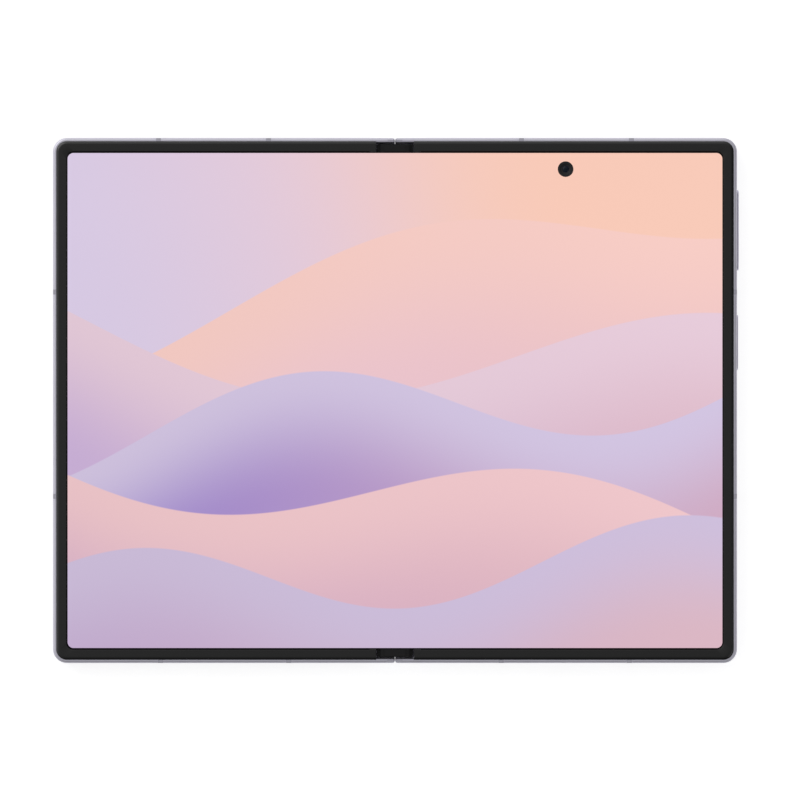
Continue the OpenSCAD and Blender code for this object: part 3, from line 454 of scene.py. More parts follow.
class NodeTree:
    """Node tree with short calls for the nodes that are joined in it."""

    def __init__(self, tree: bpy.types.NodeTree) -> None:
        """Starts from an empty tree."""
        self.tree = tree
        self.tree.nodes.clear()

    def add(self, kind: str, *values: object, **settings: object) -> bpy.types.Node:
        """A new node with its settings, and its first inputs fed with the values.

        Args:
            kind: type of the node.
            values: numbers, colours or sockets, in the order of the inputs.
            settings: the node's own settings.

        Returns:
            The node.
        """
        node = self.tree.nodes.new(kind)
        for name, value in settings.items():
            setattr(node, name, value)
        for target, value in zip(node.inputs, values):
            self.feed(target, value)
        return node

    def feed(self, target: Socket, value: object) -> None:
        """Links a socket, or sets a plain value on it.

        Args:
            target: the input.
            value: a socket, a number or a colour.
        """
        if isinstance(value, Socket):
            self.tree.links.new(value, target)
        elif target.type == "RGBA":
            target.default_value = (*value, 1.0)
        else:
            target.default_value = value

    def math(self, operation: str, *values: object) -> Socket:
        """Result of a sum of one, two or three numbers or sockets."""
        return self.add("ShaderNodeMath", *values, operation=operation).outputs[0]

    def vector(self, operation: str, *values: object) -> bpy.types.Node:
        """Node that works on vectors."""
        return self.add("ShaderNodeVectorMath", *values, operation=operation)

    def mix(self, factor: object, first: object, second: object) -> Socket:
        """Colour between two colours.

        Args:
            factor: share of the second colour.
            first, second: the colours.

        Returns:
            The colour.
        """
        node = self.add("ShaderNodeMix", factor, data_type="RGBA")
        self.feed(node.inputs[6], first)
        self.feed(node.inputs[7], second)
        return node.outputs[2]

    def ramp(self, value: Socket, start: float, end: float) -> Socket:
        """Smooth change from 0 to 1 while the value goes from start to end."""
        node = self.add("ShaderNodeMapRange", value, start, end, interpolation_type="SMOOTHSTEP")
        return node.outputs[0]


class NodeSheet(NodeTree):
    """Nodes of one material, round one surface shader."""

    def __init__(self, name: str) -> None:
        """Starts the material.

        Args:
            name: name of the material.
        """
        self.material = bpy.data.materials.new(name)
        self.material.use_nodes = True
        super().__init__(self.material.node_tree)
        self.shader = self.add("ShaderNodeBsdfPrincipled")
        self.add("ShaderNodeOutputMaterial", self.shader.outputs[0])

    def set(self, **values: object) -> None:
        """Feeds inputs of the surface shader, named with _ for each space."""
        for name, value in values.items():
            self.feed(self.shader.inputs[name.replace("_", " ")], value)

    def place(self, shift: Sequence[float] = (0, 0, 0), stretch: Sequence[float] = (1, 1, 1)) -> Socket:
        """Object coordinates, moved so that shift, in millimetres, is their origin, then stretched.

        Args:
            shift: the new origin.
            stretch: factor along each axis.

        Returns:
            The coordinates.
        """
        node = self.add("ShaderNodeMapping", vector_type="POINT")
        node.inputs["Scale"].default_value = stretch
        node.inputs["Location"].default_value = [-s * MM * k for s, k in zip(shift, stretch)]
        self.feed(node.inputs["Vector"], self.add("ShaderNodeTexCoord").outputs["Object"])
        return node.outputs[0]

    def flat(self) -> Socket:
        """The piece's own flat map: x and y of the rest pose, in units of 100 mm."""
        return self.add("ShaderNodeUVMap", uv_map="flat").outputs[0]

    def texture(
        self, kind: str, where: Socket, numbers: dict[str, float], result: str = "Fac", **settings: object
    ) -> Socket:
        """Value of a texture on those coordinates.

        Args:
            kind: type of its node.
            where: the coordinates.
            numbers: values of its inputs, by their names.
            result: name of the output.
            settings: the node's own settings.

        Returns:
            The output.
        """
        node = self.add(kind, where, **settings)
        for name, value in numbers.items():
            node.inputs[name].default_value = value
        return node.outputs[result]

    def noise(self, scale: float, detail: float = 3.0, where: Socket | None = None) -> Socket:
        """Cloudy value from 0 to 1, with that many clouds in a metre."""
        numbers = {"Scale": scale, "Detail": detail}
        return self.texture("ShaderNodeTexNoise", where or self.place(), numbers)

    def bump(self, height: Socket, depth: float, strength: float = 0.5) -> None:
        """Lays a relief of that depth, in millimetres, on the surface.

        Args:
            height: the relief, from 0 to 1.
            depth: its depth in millimetres.
            strength: how much of it shows.
        """
        node = self.add("ShaderNodeBump")
        node.inputs["Strength"].default_value = strength
        node.inputs["Distance"].default_value = depth * MM
        self.feed(node.inputs["Height"], height)
        self.set(Normal=node.outputs[0])

    def inside(self, where: Socket, centre: Triple, half: Triple, radius: float) -> Socket:
        """1 inside a rounded rectangle on the flat map and 0 outside it.

        The point's distance past the inner rectangle, less the radius, changes sign on the edge.

        Args:
            where: the flat map.
            centre, half: the rectangle's middle and half sizes, in millimetres.
            radius: its corner radius.

        Returns:
            The mask.
        """
        moved = self.vector("SUBTRACT", where, tuple(c / UV_UNIT for c in centre)).outputs[0]
        folded = self.vector("ABSOLUTE", moved).outputs[0]
        core = tuple((h - radius) / UV_UNIT for h in half[:2]) + (0.0,)
        past = self.vector("SUBTRACT", folded, core).outputs[0]
        outside = self.vector("MAXIMUM", past, (0, 0, 0)).outputs[0]
        distance = self.vector("LENGTH", outside).outputs[1]
        return self.math("LESS_THAN", distance, radius / UV_UNIT)


@dataclass(frozen=True)
class Finish:
    """A finish with a colour, and a material that is made once."""

    name: str
    slot: Slot
    colour: Colour
    roughness: float

    def dress(self, sheet: NodeSheet) -> None:
        """Joins the nodes of this finish."""
        raise NotImplementedError

    def shade(self, factor: float, lift: float = 0.0) -> Colour:
        """The colour times a factor, plus a lift."""
        return tuple(factor * c + lift for c in self.colour)

    def gloss(self, sheet: NodeSheet, pattern: Socket, span: float, less: float = 0.0) -> Socket:
        """Roughness that the pattern varies: the finish's own less a part, plus pattern times span."""
        return sheet.math("MULTIPLY_ADD", pattern, span, self.roughness - less)

    def material(self) -> bpy.types.Material:
        """The finish as a material.

        Returns:
            The material.
        """
        found = bpy.data.materials.get(self.name)
        if found:
            return found
        sheet = NodeSheet(self.name)
        self.dress(sheet)
        return sheet.material


@dataclass(frozen=True)
class AnodisedMetal(Finish):
    """Bead-blasted and anodised metal: fine grain, faint clouds of tone."""

    metallic: float = 0.7

    def dress(self, sheet: NodeSheet) -> None:
        """Cloudy tone and gloss, and a fine blasted relief.

        Args:
            sheet: the material's nodes.
        """
        cloud = sheet.noise(scale=160, detail=4)
        grain = sheet.noise(scale=9000, detail=2)
        sheet.set(
            Base_Color=sheet.mix(cloud, self.shade(0.93), self.colour),
            Metallic=self.metallic,
            Roughness=self.gloss(sheet, grain, span=0.10, less=0.05),
        )
        sheet.bump(grain, depth=0.004, strength=0.35)


@dataclass(frozen=True)
class BrushedSteel(Finish):
    """Ground or stamped steel: scratches run along Y."""

    def dress(self, sheet: NodeSheet) -> None:
        """Long thin noise for the scratches, in tone, gloss and relief.

        Args:
            sheet: the material's nodes.
        """
        lines = sheet.noise(scale=300, detail=5, where=sheet.place(stretch=(30, 1, 30)))
        sheet.set(
            Base_Color=sheet.mix(lines, self.shade(0.72), self.colour),
            Metallic=1.0,
            Roughness=self.gloss(sheet, lines, span=0.22, less=0.1),
        )
        sheet.bump(lines, depth=0.006, strength=0.4)


@dataclass(frozen=True)
class MouldedPlastic(Finish):
    """Moulded plastic with a fine eroded texture."""

    specular: float = 0.3
    grain: float = 4000.0

    def dress(self, sheet: NodeSheet) -> None:
        """Fine grain in gloss and relief, with a faint change of tone.

        Args:
            sheet: the material's nodes.
        """
        grain = sheet.noise(scale=self.grain, detail=4)
        sheet.set(
            Base_Color=sheet.mix(grain, self.colour, self.shade(1.25, lift=0.001)),
            Roughness=self.gloss(sheet, grain, span=0.14, less=0.07),
            Specular_IOR_Level=self.specular,
        )
        sheet.bump(grain, depth=0.005, strength=0.3)


@dataclass(frozen=True)
class FrostedGlass(Finish):
    """Etched glass over paint: a soft sheen with a sparkle as fine as dust."""

    def dress(self, sheet: NodeSheet) -> None:
        """Etch grain under a thin clear coat.

        Args:
            sheet: the material's nodes.
        """
        etch = sheet.noise(scale=7000, detail=3)
        cloud = sheet.noise(scale=45, detail=2)
        sheet.set(
            Base_Color=sheet.mix(cloud, self.shade(0.94), self.colour),
            Metallic=0.15,
            Roughness=self.gloss(sheet, etch, span=0.12, less=0.06),
            Coat_Weight=0.25,
            Coat_Roughness=0.32,
        )
        sheet.bump(etch, depth=0.003, strength=0.3)


@dataclass(frozen=True)
class ClearGlass(Finish):
    """Polished cover glass of a lens, seen through, with a coating that stops most reflections."""

    def dress(self, sheet: NodeSheet) -> None:
        """Transmission with a gloss that wanders a little, as wiped glass does.

        Args:
            sheet: the material's nodes.
        """
        smear = sheet.noise(scale=120, detail=2)
        sheet.set(
            Base_Color=self.colour,
            Roughness=self.gloss(sheet, smear, span=0.01),
            IOR=1.14,
            Transmission_Weight=1.0,
        )


@dataclass(frozen=True)
class CoatedLens(Finish):
    """Dark lens element with a painted reflection of its coating: violet at its rim and green towards its
    middle.
    """

    # Painted coating reflection: the colour the lens turns towards its rim, by the angle to the surface
    rim: Colour = (0.06, 0.03, 0.14)

    def dress(self, sheet: NodeSheet) -> None:
        """Painted coating reflection: colour by the angle to the surface, under a clear coat.

        Args:
            sheet: the material's nodes.
        """
        # Facing blends the lens colour into the painted violet reflection at the rim
        edge = sheet.add("ShaderNodeLayerWeight", 0.35).outputs["Facing"]
        dust = sheet.noise(scale=900, detail=2)
        sheet.set(
            Base_Color=sheet.mix(edge, self.colour, self.rim),
            Roughness=self.gloss(sheet, dust, span=0.03),
            Specular_IOR_Level=0.16,
            Coat_Weight=0.12,
            Coat_Roughness=0.03,
        )


@dataclass(frozen=True)
class CircuitBoard(Finish):
    """Solder mask over traces, with gold pads."""

    pad: Colour = (0.60, 0.42, 0.14)

    def dress(self, sheet: NodeSheet) -> None:
        """Two crossing sets of bent lines for traces, and small cells for pads.

        Args:
            sheet: the material's nodes.
        """
        where = sheet.place()
        bends = {"Scale": 330.0, "Distortion": 5.0, "Detail": 0.0, "Detail Scale": 0.6}
        lines = [
            sheet.texture("ShaderNodeTexWave", where, bends, wave_type="BANDS", bands_direction=way)
            for way in ("X", "Y")
        ]
        trace = sheet.math("MAXIMUM", *(sheet.ramp(line, start=0.75, end=0.9) for line in lines))
        cells = sheet.texture(
            "ShaderNodeTexVoronoi", where, {"Scale": 700.0}, "Distance", distance="CHEBYCHEV"
        )
        pads = sheet.ramp(cells, start=0.16, end=0.14)
        mask = sheet.mix(trace, self.colour, self.shade(1.9, lift=0.004))
        sheet.set(
            Base_Color=sheet.mix(pads, mask, self.pad),
            Metallic=pads,
            Roughness=self.roughness,
            Coat_Weight=0.3,
        )
        sheet.bump(sheet.math("MAXIMUM", trace, pads), depth=0.03, strength=0.5)


@dataclass(frozen=True)
class FoilPouch(Finish):
    """Laminated foil of a battery: soft wrinkles under a satin skin."""

    def dress(self, sheet: NodeSheet) -> None:
        """Wide wrinkles in relief, and finer ones in tone.

        Args:
            sheet: the material's nodes.
        """
        wrinkle = sheet.noise(scale=110, detail=5)
        fine = sheet.noise(scale=900, detail=3)
        sheet.set(
            Base_Color=sheet.mix(fine, self.colour, self.shade(1.5)),
            Metallic=0.35,
            Roughness=self.roughness,
        )
        sheet.bump(wrinkle, depth=0.12, strength=0.5)


@dataclass(frozen=True)
class WoundCopper(Finish):
    """Turns of enamelled wire about the coil's centre."""

    centre: Triple = (27.8, -4.0, 0.0)
    turns: float = 420.0

    def dress(self, sheet: NodeSheet) -> None:
        """Rings about the centre, dark between two turns.

        Args:
            sheet: the material's nodes.
        """
        where = sheet.place(self.centre)
        rings = sheet.texture(
            "ShaderNodeTexWave", where, {"Scale": self.turns}, wave_type="RINGS", rings_direction="Z"
        )
        sheet.set(
            Base_Color=sheet.mix(rings, self.shade(0.3), self.colour),
            Metallic=0.9,
            Roughness=self.roughness,
        )
        sheet.bump(rings, depth=0.08, strength=0.6)


@dataclass(frozen=True)
class CoverScreen(Finish):
    """Black cover glass: an unlit screen with a border, and the ring of its camera."""

    screen: Triple = (-43.2, 0.0, 0.0)
    screen_half: Triple = (35.2, 59.2, 0.0)
    screen_r: float = 3.0
    screen_tone: Colour = (0.011, 0.011, 0.014)
    camera: Triple = (-43.225, 54.95, 0.0)
    ring_r: float = 1.95
    ring_tone: Colour = (0.0015, 0.0015, 0.002)
    lens_r: float = 0.85
    lens_tone: Colour = (0.03, 0.035, 0.08)

    def disc(self, sheet: NodeSheet, where: Socket, radius: float) -> Socket:
        """1 within that radius of the camera: a rounded square that is nearly all corners."""
        return sheet.inside(where, self.camera, (radius, radius, 0), radius - MIN_RADIUS)

    def dress(self, sheet: NodeSheet) -> None:
        """The screen reads a shade lighter and cooler than its border.

        Args:
            sheet: the material's nodes.
        """
        where = sheet.flat()
        screen = sheet.inside(where, self.screen, self.screen_half, self.screen_r)
        border = sheet.mix(screen, self.colour, self.screen_tone)
        ring = sheet.mix(self.disc(sheet, where, self.ring_r), border, self.ring_tone)
        smear = sheet.noise(scale=35, detail=3)
        sheet.set(
            Base_Color=sheet.mix(self.disc(sheet, where, self.lens_r), ring, self.lens_tone),
            Roughness=self.gloss(sheet, smear, span=0.05),
            Specular_IOR_Level=0.4,
        )


@dataclass(frozen=True)
class WaveLayer:
    """One wave of the picture: a crest line and the two tones below it.

    The crest is level + slope x + height sin(pace x + phase), in units of 100 mm.
    """

    level: float
    slope: float
    height: float
    pace: float
    phase: float
    depth: float
    light: Colour
    shade: Colour


@dataclass(frozen=True)
class LitDisplay(Finish):
    """Lit flexible display under a satin film, with a generic picture of soft waves."""

    active_half: Triple = (77.25, 58.4, 0.0)
    active_r: float = 1.4
    glow: float = 0.93
    border: Colour = (0.001, 0.001, 0.001)
    border_glow: Colour = (0.0006, 0.0005, 0.0006)
    film: Colour = (0.012, 0.011, 0.013)
    sky_left: Colour = tone(219, 205, 232)
    sky_middle: Colour = tone(246, 208, 211)
    sky_right: Colour = tone(255, 207, 188)
    warm_shade: Colour = tone(243, 198, 196)
    warmth: float = 0.6
    left_shade: float = 0.93
    crest_blur: float = 0.0035
    layers: tuple[WaveLayer, ...] = (
        WaveLayer(0.30, 0.22, 0.10, 3.6, 1.4, 0.42, tone(254, 210, 202), tone(238, 200, 214)),
        WaveLayer(0.13, -0.08, 0.14, 3.1, -0.9, 0.36, tone(237, 209, 224), tone(202, 176, 216)),
        WaveLayer(-0.02, 0.10, 0.11, 4.3, 2.5, 0.30, tone(216, 202, 232), tone(156, 134, 207)),
        WaveLayer(-0.22, -0.12, 0.10, 3.7, 0.2, 0.34, tone(246, 204, 208), tone(214, 174, 200)),
        WaveLayer(-0.40, 0.06, 0.09, 4.9, -1.7, 0.30, tone(212, 196, 226), tone(196, 172, 208)),
    )

    def sky(self, sheet: NodeSheet, x: Socket, y: Socket) -> Socket:
        """Colour that warms from the left to the upper right.

        Args:
            sheet: the material's nodes.
            x, y: place on the flat map.

        Returns:
            The colour.
        """
        across = sheet.ramp(sheet.math("MULTIPLY_ADD", y, 0.35, x), start=-0.75, end=0.6)
        warm = sheet.mix(sheet.ramp(across, start=0.35, end=1.0), self.sky_middle, self.sky_right)
        return sheet.mix(across, self.sky_left, warm)

    def wave(self, sheet: NodeSheet, layer: WaveLayer, x: Socket, y: Socket, behind: Socket) -> Socket:
        """The picture behind with one wave before it.

        Args:
            sheet: the nodes of the display.
            layer: the wave.
            x, y: place on the flat map.
            behind: colour of what the wave covers.

        Returns:
            The colour: below its crest the wave goes from its light tone to its shade.
        """
        swing = sheet.math("SINE", sheet.math("MULTIPLY_ADD", x, layer.pace, layer.phase))
        crest = sheet.math("MULTIPLY_ADD", swing, layer.height, layer.level)
        crest = sheet.math("MULTIPLY_ADD", x, layer.slope, crest)
        below = sheet.math("SUBTRACT", crest, y)
        tilt = sheet.ramp(x, start=-0.9, end=0.9)
        light = sheet.mix(tilt, tuple(self.left_shade * c for c in layer.light), layer.light)
        warmed = sheet.mix(sheet.math("MULTIPLY", tilt, self.warmth), layer.shade, self.warm_shade)
        body = sheet.mix(sheet.ramp(below, start=0.0, end=layer.depth), light, warmed)
        return sheet.mix(sheet.ramp(below, start=0.0, end=self.crest_blur), behind, body)

    def dress(self, sheet: NodeSheet) -> None:
        """A sky, then one wave in front of the other, within the active area.

        Args:
            sheet: the material's nodes.
        """
        where = sheet.flat()
        x, y = sheet.add("ShaderNodeSeparateXYZ", where).outputs[:2]
        picture = self.sky(sheet, x, y)
        for layer in self.layers:
            picture = self.wave(sheet, layer, x, y, picture)
        shown = sheet.inside(where, (0, 0, 0), self.active_half, self.active_r)
        haze = sheet.noise(scale=700, detail=2)
        sheet.set(
            Base_Color=sheet.mix(shown, self.border, self.film),
            Emission_Color=sheet.mix(shown, self.border_glow, picture),
            Emission_Strength=self.glow,
            Roughness=self.gloss(sheet, haze, span=0.04),
            Specular_IOR_Level=0.12,
        )


ANODISED = AnodisedMetal("anodised_frame", Slot.FRAME, tone(209, 207, 219), 0.46)
KEY_METAL = AnodisedMetal("anodised_key", Slot.KEY, tone(208, 205, 222), 0.42)
SPINE_METAL = AnodisedMetal("anodised_spine", Slot.FRAME, tone(190, 188, 200), 0.36)
# The frame metal in a darker tone: painted shade on the step beside the hinge's end caps
SHADED_STEP_METAL = AnodisedMetal("anodised_step_painted_shade", Slot.FRAME, tone(178, 176, 189), 0.46)
BAND_PLASTIC = MouldedPlastic("antenna_band", Slot.BAND, tone(158, 156, 168), 0.5)
BEZEL_PLASTIC = MouldedPlastic("bezel_black", Slot.BEZEL, (0.0018, 0.0018, 0.0019), 0.22, 0.66)
CAP_PLASTIC = MouldedPlastic("hinge_cap_black", Slot.BEZEL, (0.006, 0.006, 0.0065), 0.5, 0.25)
CASE_PLASTIC = MouldedPlastic("case_black", Slot.PLASTIC, (0.012, 0.012, 0.013), 0.5, 0.3)
REAR_GLASS = FrostedGlass("frosted_lavender", Slot.REAR, tone(184, 179, 196), 0.38)
COVER_GLASS = CoverScreen("cover_screen", Slot.COVER, (0.0042, 0.0042, 0.005), 0.05)
LENS_COVER = ClearGlass("lens_cover", Slot.LENS, (0.86, 0.88, 0.92), 0.02)
LENS_ELEMENT = CoatedLens("lens_element", Slot.LENS, (0.004, 0.009, 0.014), 0.06)
DISPLAY = LitDisplay("inner_display", Slot.DISPLAY, (0.01, 0.01, 0.01), 0.24)
FLASH = MouldedPlastic("flash_lens", Slot.FLASH, (0.86, 0.80, 0.56), 0.22, 0.5, 1500.0)
GOLD = BrushedSteel("gold_contact", Slot.STEEL, (0.78, 0.55, 0.22), 0.28)
CAD_FINISHES: tuple[Finish, ...] = (
    ANODISED,
    KEY_METAL,
    BAND_PLASTIC,
    BEZEL_PLASTIC,
    REAR_GLASS,
    COVER_GLASS,
    LENS_ELEMENT,
    DISPLAY,
    MouldedPlastic("panel_back", Slot.PANEL, (0.008, 0.008, 0.01), 0.3, 0.5),
    BrushedSteel("stamped_steel", Slot.STEEL, (0.42, 0.42, 0.44), 0.36),
    BrushedSteel("ground_steel", Slot.ARM, (0.30, 0.30, 0.32), 0.28),
    BrushedSteel("nickel_plate", Slot.MAGNET, (0.55, 0.54, 0.52), 0.2),
    CASE_PLASTIC,
    FLASH,
    CircuitBoard("solder_mask", Slot.BOARD, (0.006, 0.05, 0.022), 0.4),
    FoilPouch("battery_foil", Slot.BATTERY, (0.03, 0.03, 0.034), 0.38),
    WoundCopper("wound_copper", Slot.COPPER, (0.62, 0.27, 0.12), 0.34),
)


# ---------- pieces ----------


def make_piece(name: str, surface: Surface, finish: Finish, sharp: float = SHARP) -> Thing:
    """Puts a surface into the scene as one finished object.

    Args:
        name: name of the object.
        surface: its points and faces.
        finish: its finish.
        sharp: angle in degrees past which an edge stays crisp.

    Returns:
        The object, at the origin.
    """
    mesh = bpy.data.meshes.new(name)
    mesh.from_pydata((surface.points * MM).tolist(), [], surface.faces)
    work = bmesh.new()
    work.from_mesh(mesh)
    bmesh.ops.remove_doubles(work, verts=work.verts, dist=WELD)
    bmesh.ops.recalc_face_normals(work, faces=work.faces)
    work.to_mesh(mesh)
    work.free()
    thing = bpy.data.objects.new(name, mesh)
    bpy.context.scene.collection.objects.link(thing)
    mesh.materials.append(finish.material())
    smooth(thing, sharp)
    return thing


def smooth(thing: Thing, sharp: float) -> None:
    """Smooth shading with crisp edges, flat faces kept flat, and the flat map renewed.

    Args:
        thing: the piece.
        sharp: angle in degrees past which an edge stays crisp.
    """
    mesh = thing.data
    mesh.shade_smooth()
    mesh.set_sharp_from_angle(angle=math.radians(sharp))
    if "even" not in thing.modifiers:
        even = thing.modifiers.new("even", "WEIGHTED_NORMAL")
        even.keep_sharp = True
    lay = mesh.uv_layers.get("flat") or mesh.uv_layers.new(name="flat")
    points = np.empty(len(mesh.vertices) * 3, dtype=np.float32)
    mesh.vertices.foreach_get("co", points)
    corner = np.empty(len(mesh.loops), dtype=np.int32)
    mesh.loops.foreach_get("vertex_index", corner)
    flat = points.reshape(-1, 3)[corner, :2] / (MM * UV_UNIT)
    lay.data.foreach_set("uv", flat.ravel())


def cut(thing: Thing, openings: Surface, sharp: float = SHARP) -> None:
    """Takes openings out of a piece.

    Args:
        thing: the piece.
        openings: closed surfaces, one for each opening.
        sharp: angle in degrees past which an edge stays crisp.
    """
    tool = make_piece("opening_tool", openings, CASE_PLASTIC)
    tool.modifiers.clear()
    even = thing.modifiers.get("even")
    if even:
        thing.modifiers.remove(even)
    taken = thing.modifiers.new("openings", "BOOLEAN")
    taken.operation, taken.solver, taken.object = "DIFFERENCE", "EXACT", tool
    bpy.context.view_layer.update()
    depsgraph = bpy.context.evaluated_depsgraph_get()
    mesh = bpy.data.meshes.new_from_object(thing.evaluated_get(depsgraph))
    thing.modifiers.clear()
    thing.data = mesh
    bpy.data.objects.remove(tool)
    smooth(thing, sharp)


def carried_by(body: str, *things: Thing) -> list[Thing]:
    """Lets the things ride on a body, and gives them back.

    Args:
        body: name of the body.
        things: the pieces.

    Returns:
        The pieces.
    """
    for thing in things:
        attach(thing, body)
    return list(things)


@dataclass(frozen=True)
class PhoneSizes:
    """Sizes that the sub-assemblies share."""

    half_w: float = 80.7
    half_h: float = 61.95
    corner_r: float = 3.25
    back_z: float = 1.3
    glass_z: float = 1.82
    edge_z: float = 3.575
    lip_z: float = 5.85
    panel_low_z: float = 5.55
    panel_z: float = 5.95
    top_z: float = 6.2
    lip_w: float = 0.76
    window_x: float = 77.54
    window_y: float = 58.79
    window_r: float = 1.7
    port_x: float = 40.0
    front_camera: Pair = (40.26, 54.6)
    flash: Pair = (56.2, 51.05)
    flash_r: float = 2.0
    cameras_x: float = 67.7
    cameras: tuple[Pair, ...] = ((51.05, 2.6), (37.55, 3.2), (24.05, 2.9))


SIZES = PhoneSizes()


@dataclass(frozen=True)
class EdgeOpening:
    """Slot with round ends through an outer wall, opened out by a chamfer at the surface.

    Its place is the middle along the wall and the level, its size the length and the height,
    and its chamfer the width and the depth.
    """

    place: Pair
    size: Pair
    chamfer: Pair
    depth: float = 2.0

    def cutter(self, wall: float, axis: Axis) -> Surface:
        """Closed surface from the depth to 1 mm past the wall.

        Args:
            wall: where the wall's surface lies on the axis.
            axis: direction of the cut.

        Returns:
            The cutter.
        """
        wide, deep = self.chamfer
        levels = wall - math.copysign(1.0, wall) * np.array([self.depth, deep, 0.0, -1.0])
        outlines = [stadium(self.place, *self.size, grow) for grow in (0.0, 0.0, wide, wide)]
        return stack(list(zip(outlines, levels)), axis)


@dataclass(frozen=True)
class BarSize:
    """Bar with round ends in the long edge, and the gap between it and its opening."""

    place: Pair
    length: float
    height: float
    gap: float = 0.08

    def opening(self, chamfer: float, depth: float = 2.7) -> EdgeOpening:
        """Opening that leaves the gap round the bar, with a chamfer as wide as it is deep."""
        size = (self.length + 2 * self.gap, self.height + 2 * self.gap)
        return EdgeOpening(self.place, size, (chamfer, chamfer), depth)


VOLUME_KEY = BarSize(place=(40.2, 3.475), length=19.0, height=2.1)
POWER_KEY = BarSize(place=(13.7, 3.475), length=13.1, height=2.1)
CARD_TRAY = BarSize(place=(-38.5, 3.625), length=16.0, height=1.8)


@dataclass
class FrameRim:
    """Machined rim of one half: the part of the frame that a hand touches, with its openings.

    A microphone is its x and the sign of its edge in y; a row of speaker slots is their count,
    the x of its middle and that sign.
    """

    side: Side
    front_w: float = 0.6
    front_h: float = 0.498
    front_drop: float = 0.45
    rear_r: float = 0.6
    skin: float = 0.012
    start_x: float = 1.75
    lip_h: float = 0.25
    foot: Pair = (0.72, 1.5)
    wall_w: float = 0.4
    wall_z: Pair = (2.1, 5.1)
    band_w: float = 1.15
    band_gap: float = 0.03
    top_bands: Pair = (29.85, 55.8)
    bottom_bands: Pair = (25.05, 55.3)
    side_bands: Pair = (25.6, -22.6)
    microphones: tuple[Pair, ...] = ((32.5, -1), (47.5, -1), (26.0, 1))
    microphone: Pair = (0.72, 0.7)
    speakers: tuple[Triple, ...] = ((6, 36.8, -1), (4, 22.3, 1))
    speaker_pitch: float = 3.2
    speaker: Pair = (2.2, 1.0)
    port: Pair = (8.34, 2.56)
    port_depth: float = 3.95
    key_chamfer: float = 0.12
    tray_chamfer: float = 0.08
    port_chamfer: Pair = (0.22, 0.2)
    microphone_chamfer: Pair = (0.1, 0.1)
    speaker_chamfer: Pair = (0.12, 0.12)

    def path(self) -> HalfPath:
        """Outer outline of the half."""
        return HalfPath(self.start_x, SIZES.half_w, SIZES.half_h, SIZES.corner_r)

    def section(self, skin: float) -> Array:
        """C-shaped section as (inset, z): lip, front rounding, flat side, rear rounding.

        The front rounding is a quarter of an ellipse, its half axes grown by the skin, and the
        rear one a quarter circle.

        Args:
            skin: distance by which it stands outside the solid frame.

        Returns:
            The closed loop.
        """
        lip, back = SIZES.lip_z, SIZES.back_z
        reach = np.array([self.front_w, self.front_h]) + skin
        front = (self.front_w, lip - self.front_drop) + reach * arc((0, 0), 1, 90, 180, ROUND_STEPS)
        rear = arc((self.rear_r, back + self.rear_r), self.rear_r + skin, 180, 270, ROUND_STEPS)
        start = [(SIZES.lip_w, lip - self.lip_h), (SIZES.lip_w, front[0, 1])]
        inner = [(self.foot[0], back - skin), self.foot] + [(self.wall_w, z) for z in self.wall_z]
        return np.concatenate([start, front, rear, inner])

    def band_places(self) -> list[float]:
        """Length along the path of the middle of each antenna band, in order.

        Returns:
            The lengths.
        """
        path = self.path()
        places = [path.length_at(x=x) for x in self.top_bands]
        places += [path.length_at(y=y) for y in self.side_bands]
        return sorted(places + [path.length_at(x=x, top=False) for x in self.bottom_bands])

    def openings(self) -> Surface:
        """Cutters of this half's openings, laid out as on the right half.

        Returns:
            One surface of all the cutters.
        """
        wall, end, z = SIZES.half_w, SIZES.half_h, SIZES.edge_z
        if self.side is Side.RIGHT:
            keys = [key.opening(self.key_chamfer) for key in (VOLUME_KEY, POWER_KEY)]
            parts = [key.cutter(wall, Axis.X) for key in keys]
            port = EdgeOpening((SIZES.port_x, z), self.port, self.port_chamfer, self.port_depth)
            parts.append(port.cutter(-end, Axis.Y))
            for x, way in self.microphones:
                hole = EdgeOpening((x, z), self.microphone, self.microphone_chamfer)
                parts.append(hole.cutter(way * end, Axis.Y))
            return joined(parts)
        parts = [CARD_TRAY.opening(self.tray_chamfer).cutter(wall, Axis.X)]
        for count, middle, way in self.speakers:
            for x in spread(middle, count, self.speaker_pitch):
                slot = EdgeOpening((x, z), self.speaker, self.speaker_chamfer)
                parts.append(slot.cutter(way * end, Axis.Y))
        return joined(parts)

    def build(self) -> list[Thing]:
        """The rim between its bands, and the bands.

        Returns:
            The pieces.
        """
        path = self.path()
        half = self.band_w / 2
        places = self.band_places()
        starts = [0.0] + [p + half for p in places]
        ends = [p - half for p in places] + [float(path.table()[-1, 0])]
        section = self.section(self.skin)
        runs = [
            sweep(path.stretch(a + self.band_gap * (a > 0), b - self.band_gap), section)
            for a, b in zip(starts, ends)
        ]
        rim = make_piece(self.side.node("rim"), joined(runs).turned(self.side), ANODISED)
        cut(rim, self.openings().turned(self.side))
        section = self.section(self.skin / 2)
        strips = [sweep(path.stretch(p - half, p + half), section) for p in places]
        bands = make_piece(self.side.node("bands"), joined(strips).turned(self.side), BAND_PLASTIC)
        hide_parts(self.side.node("antenna_bands"))
        return carried_by(self.side.body, rim, bands)


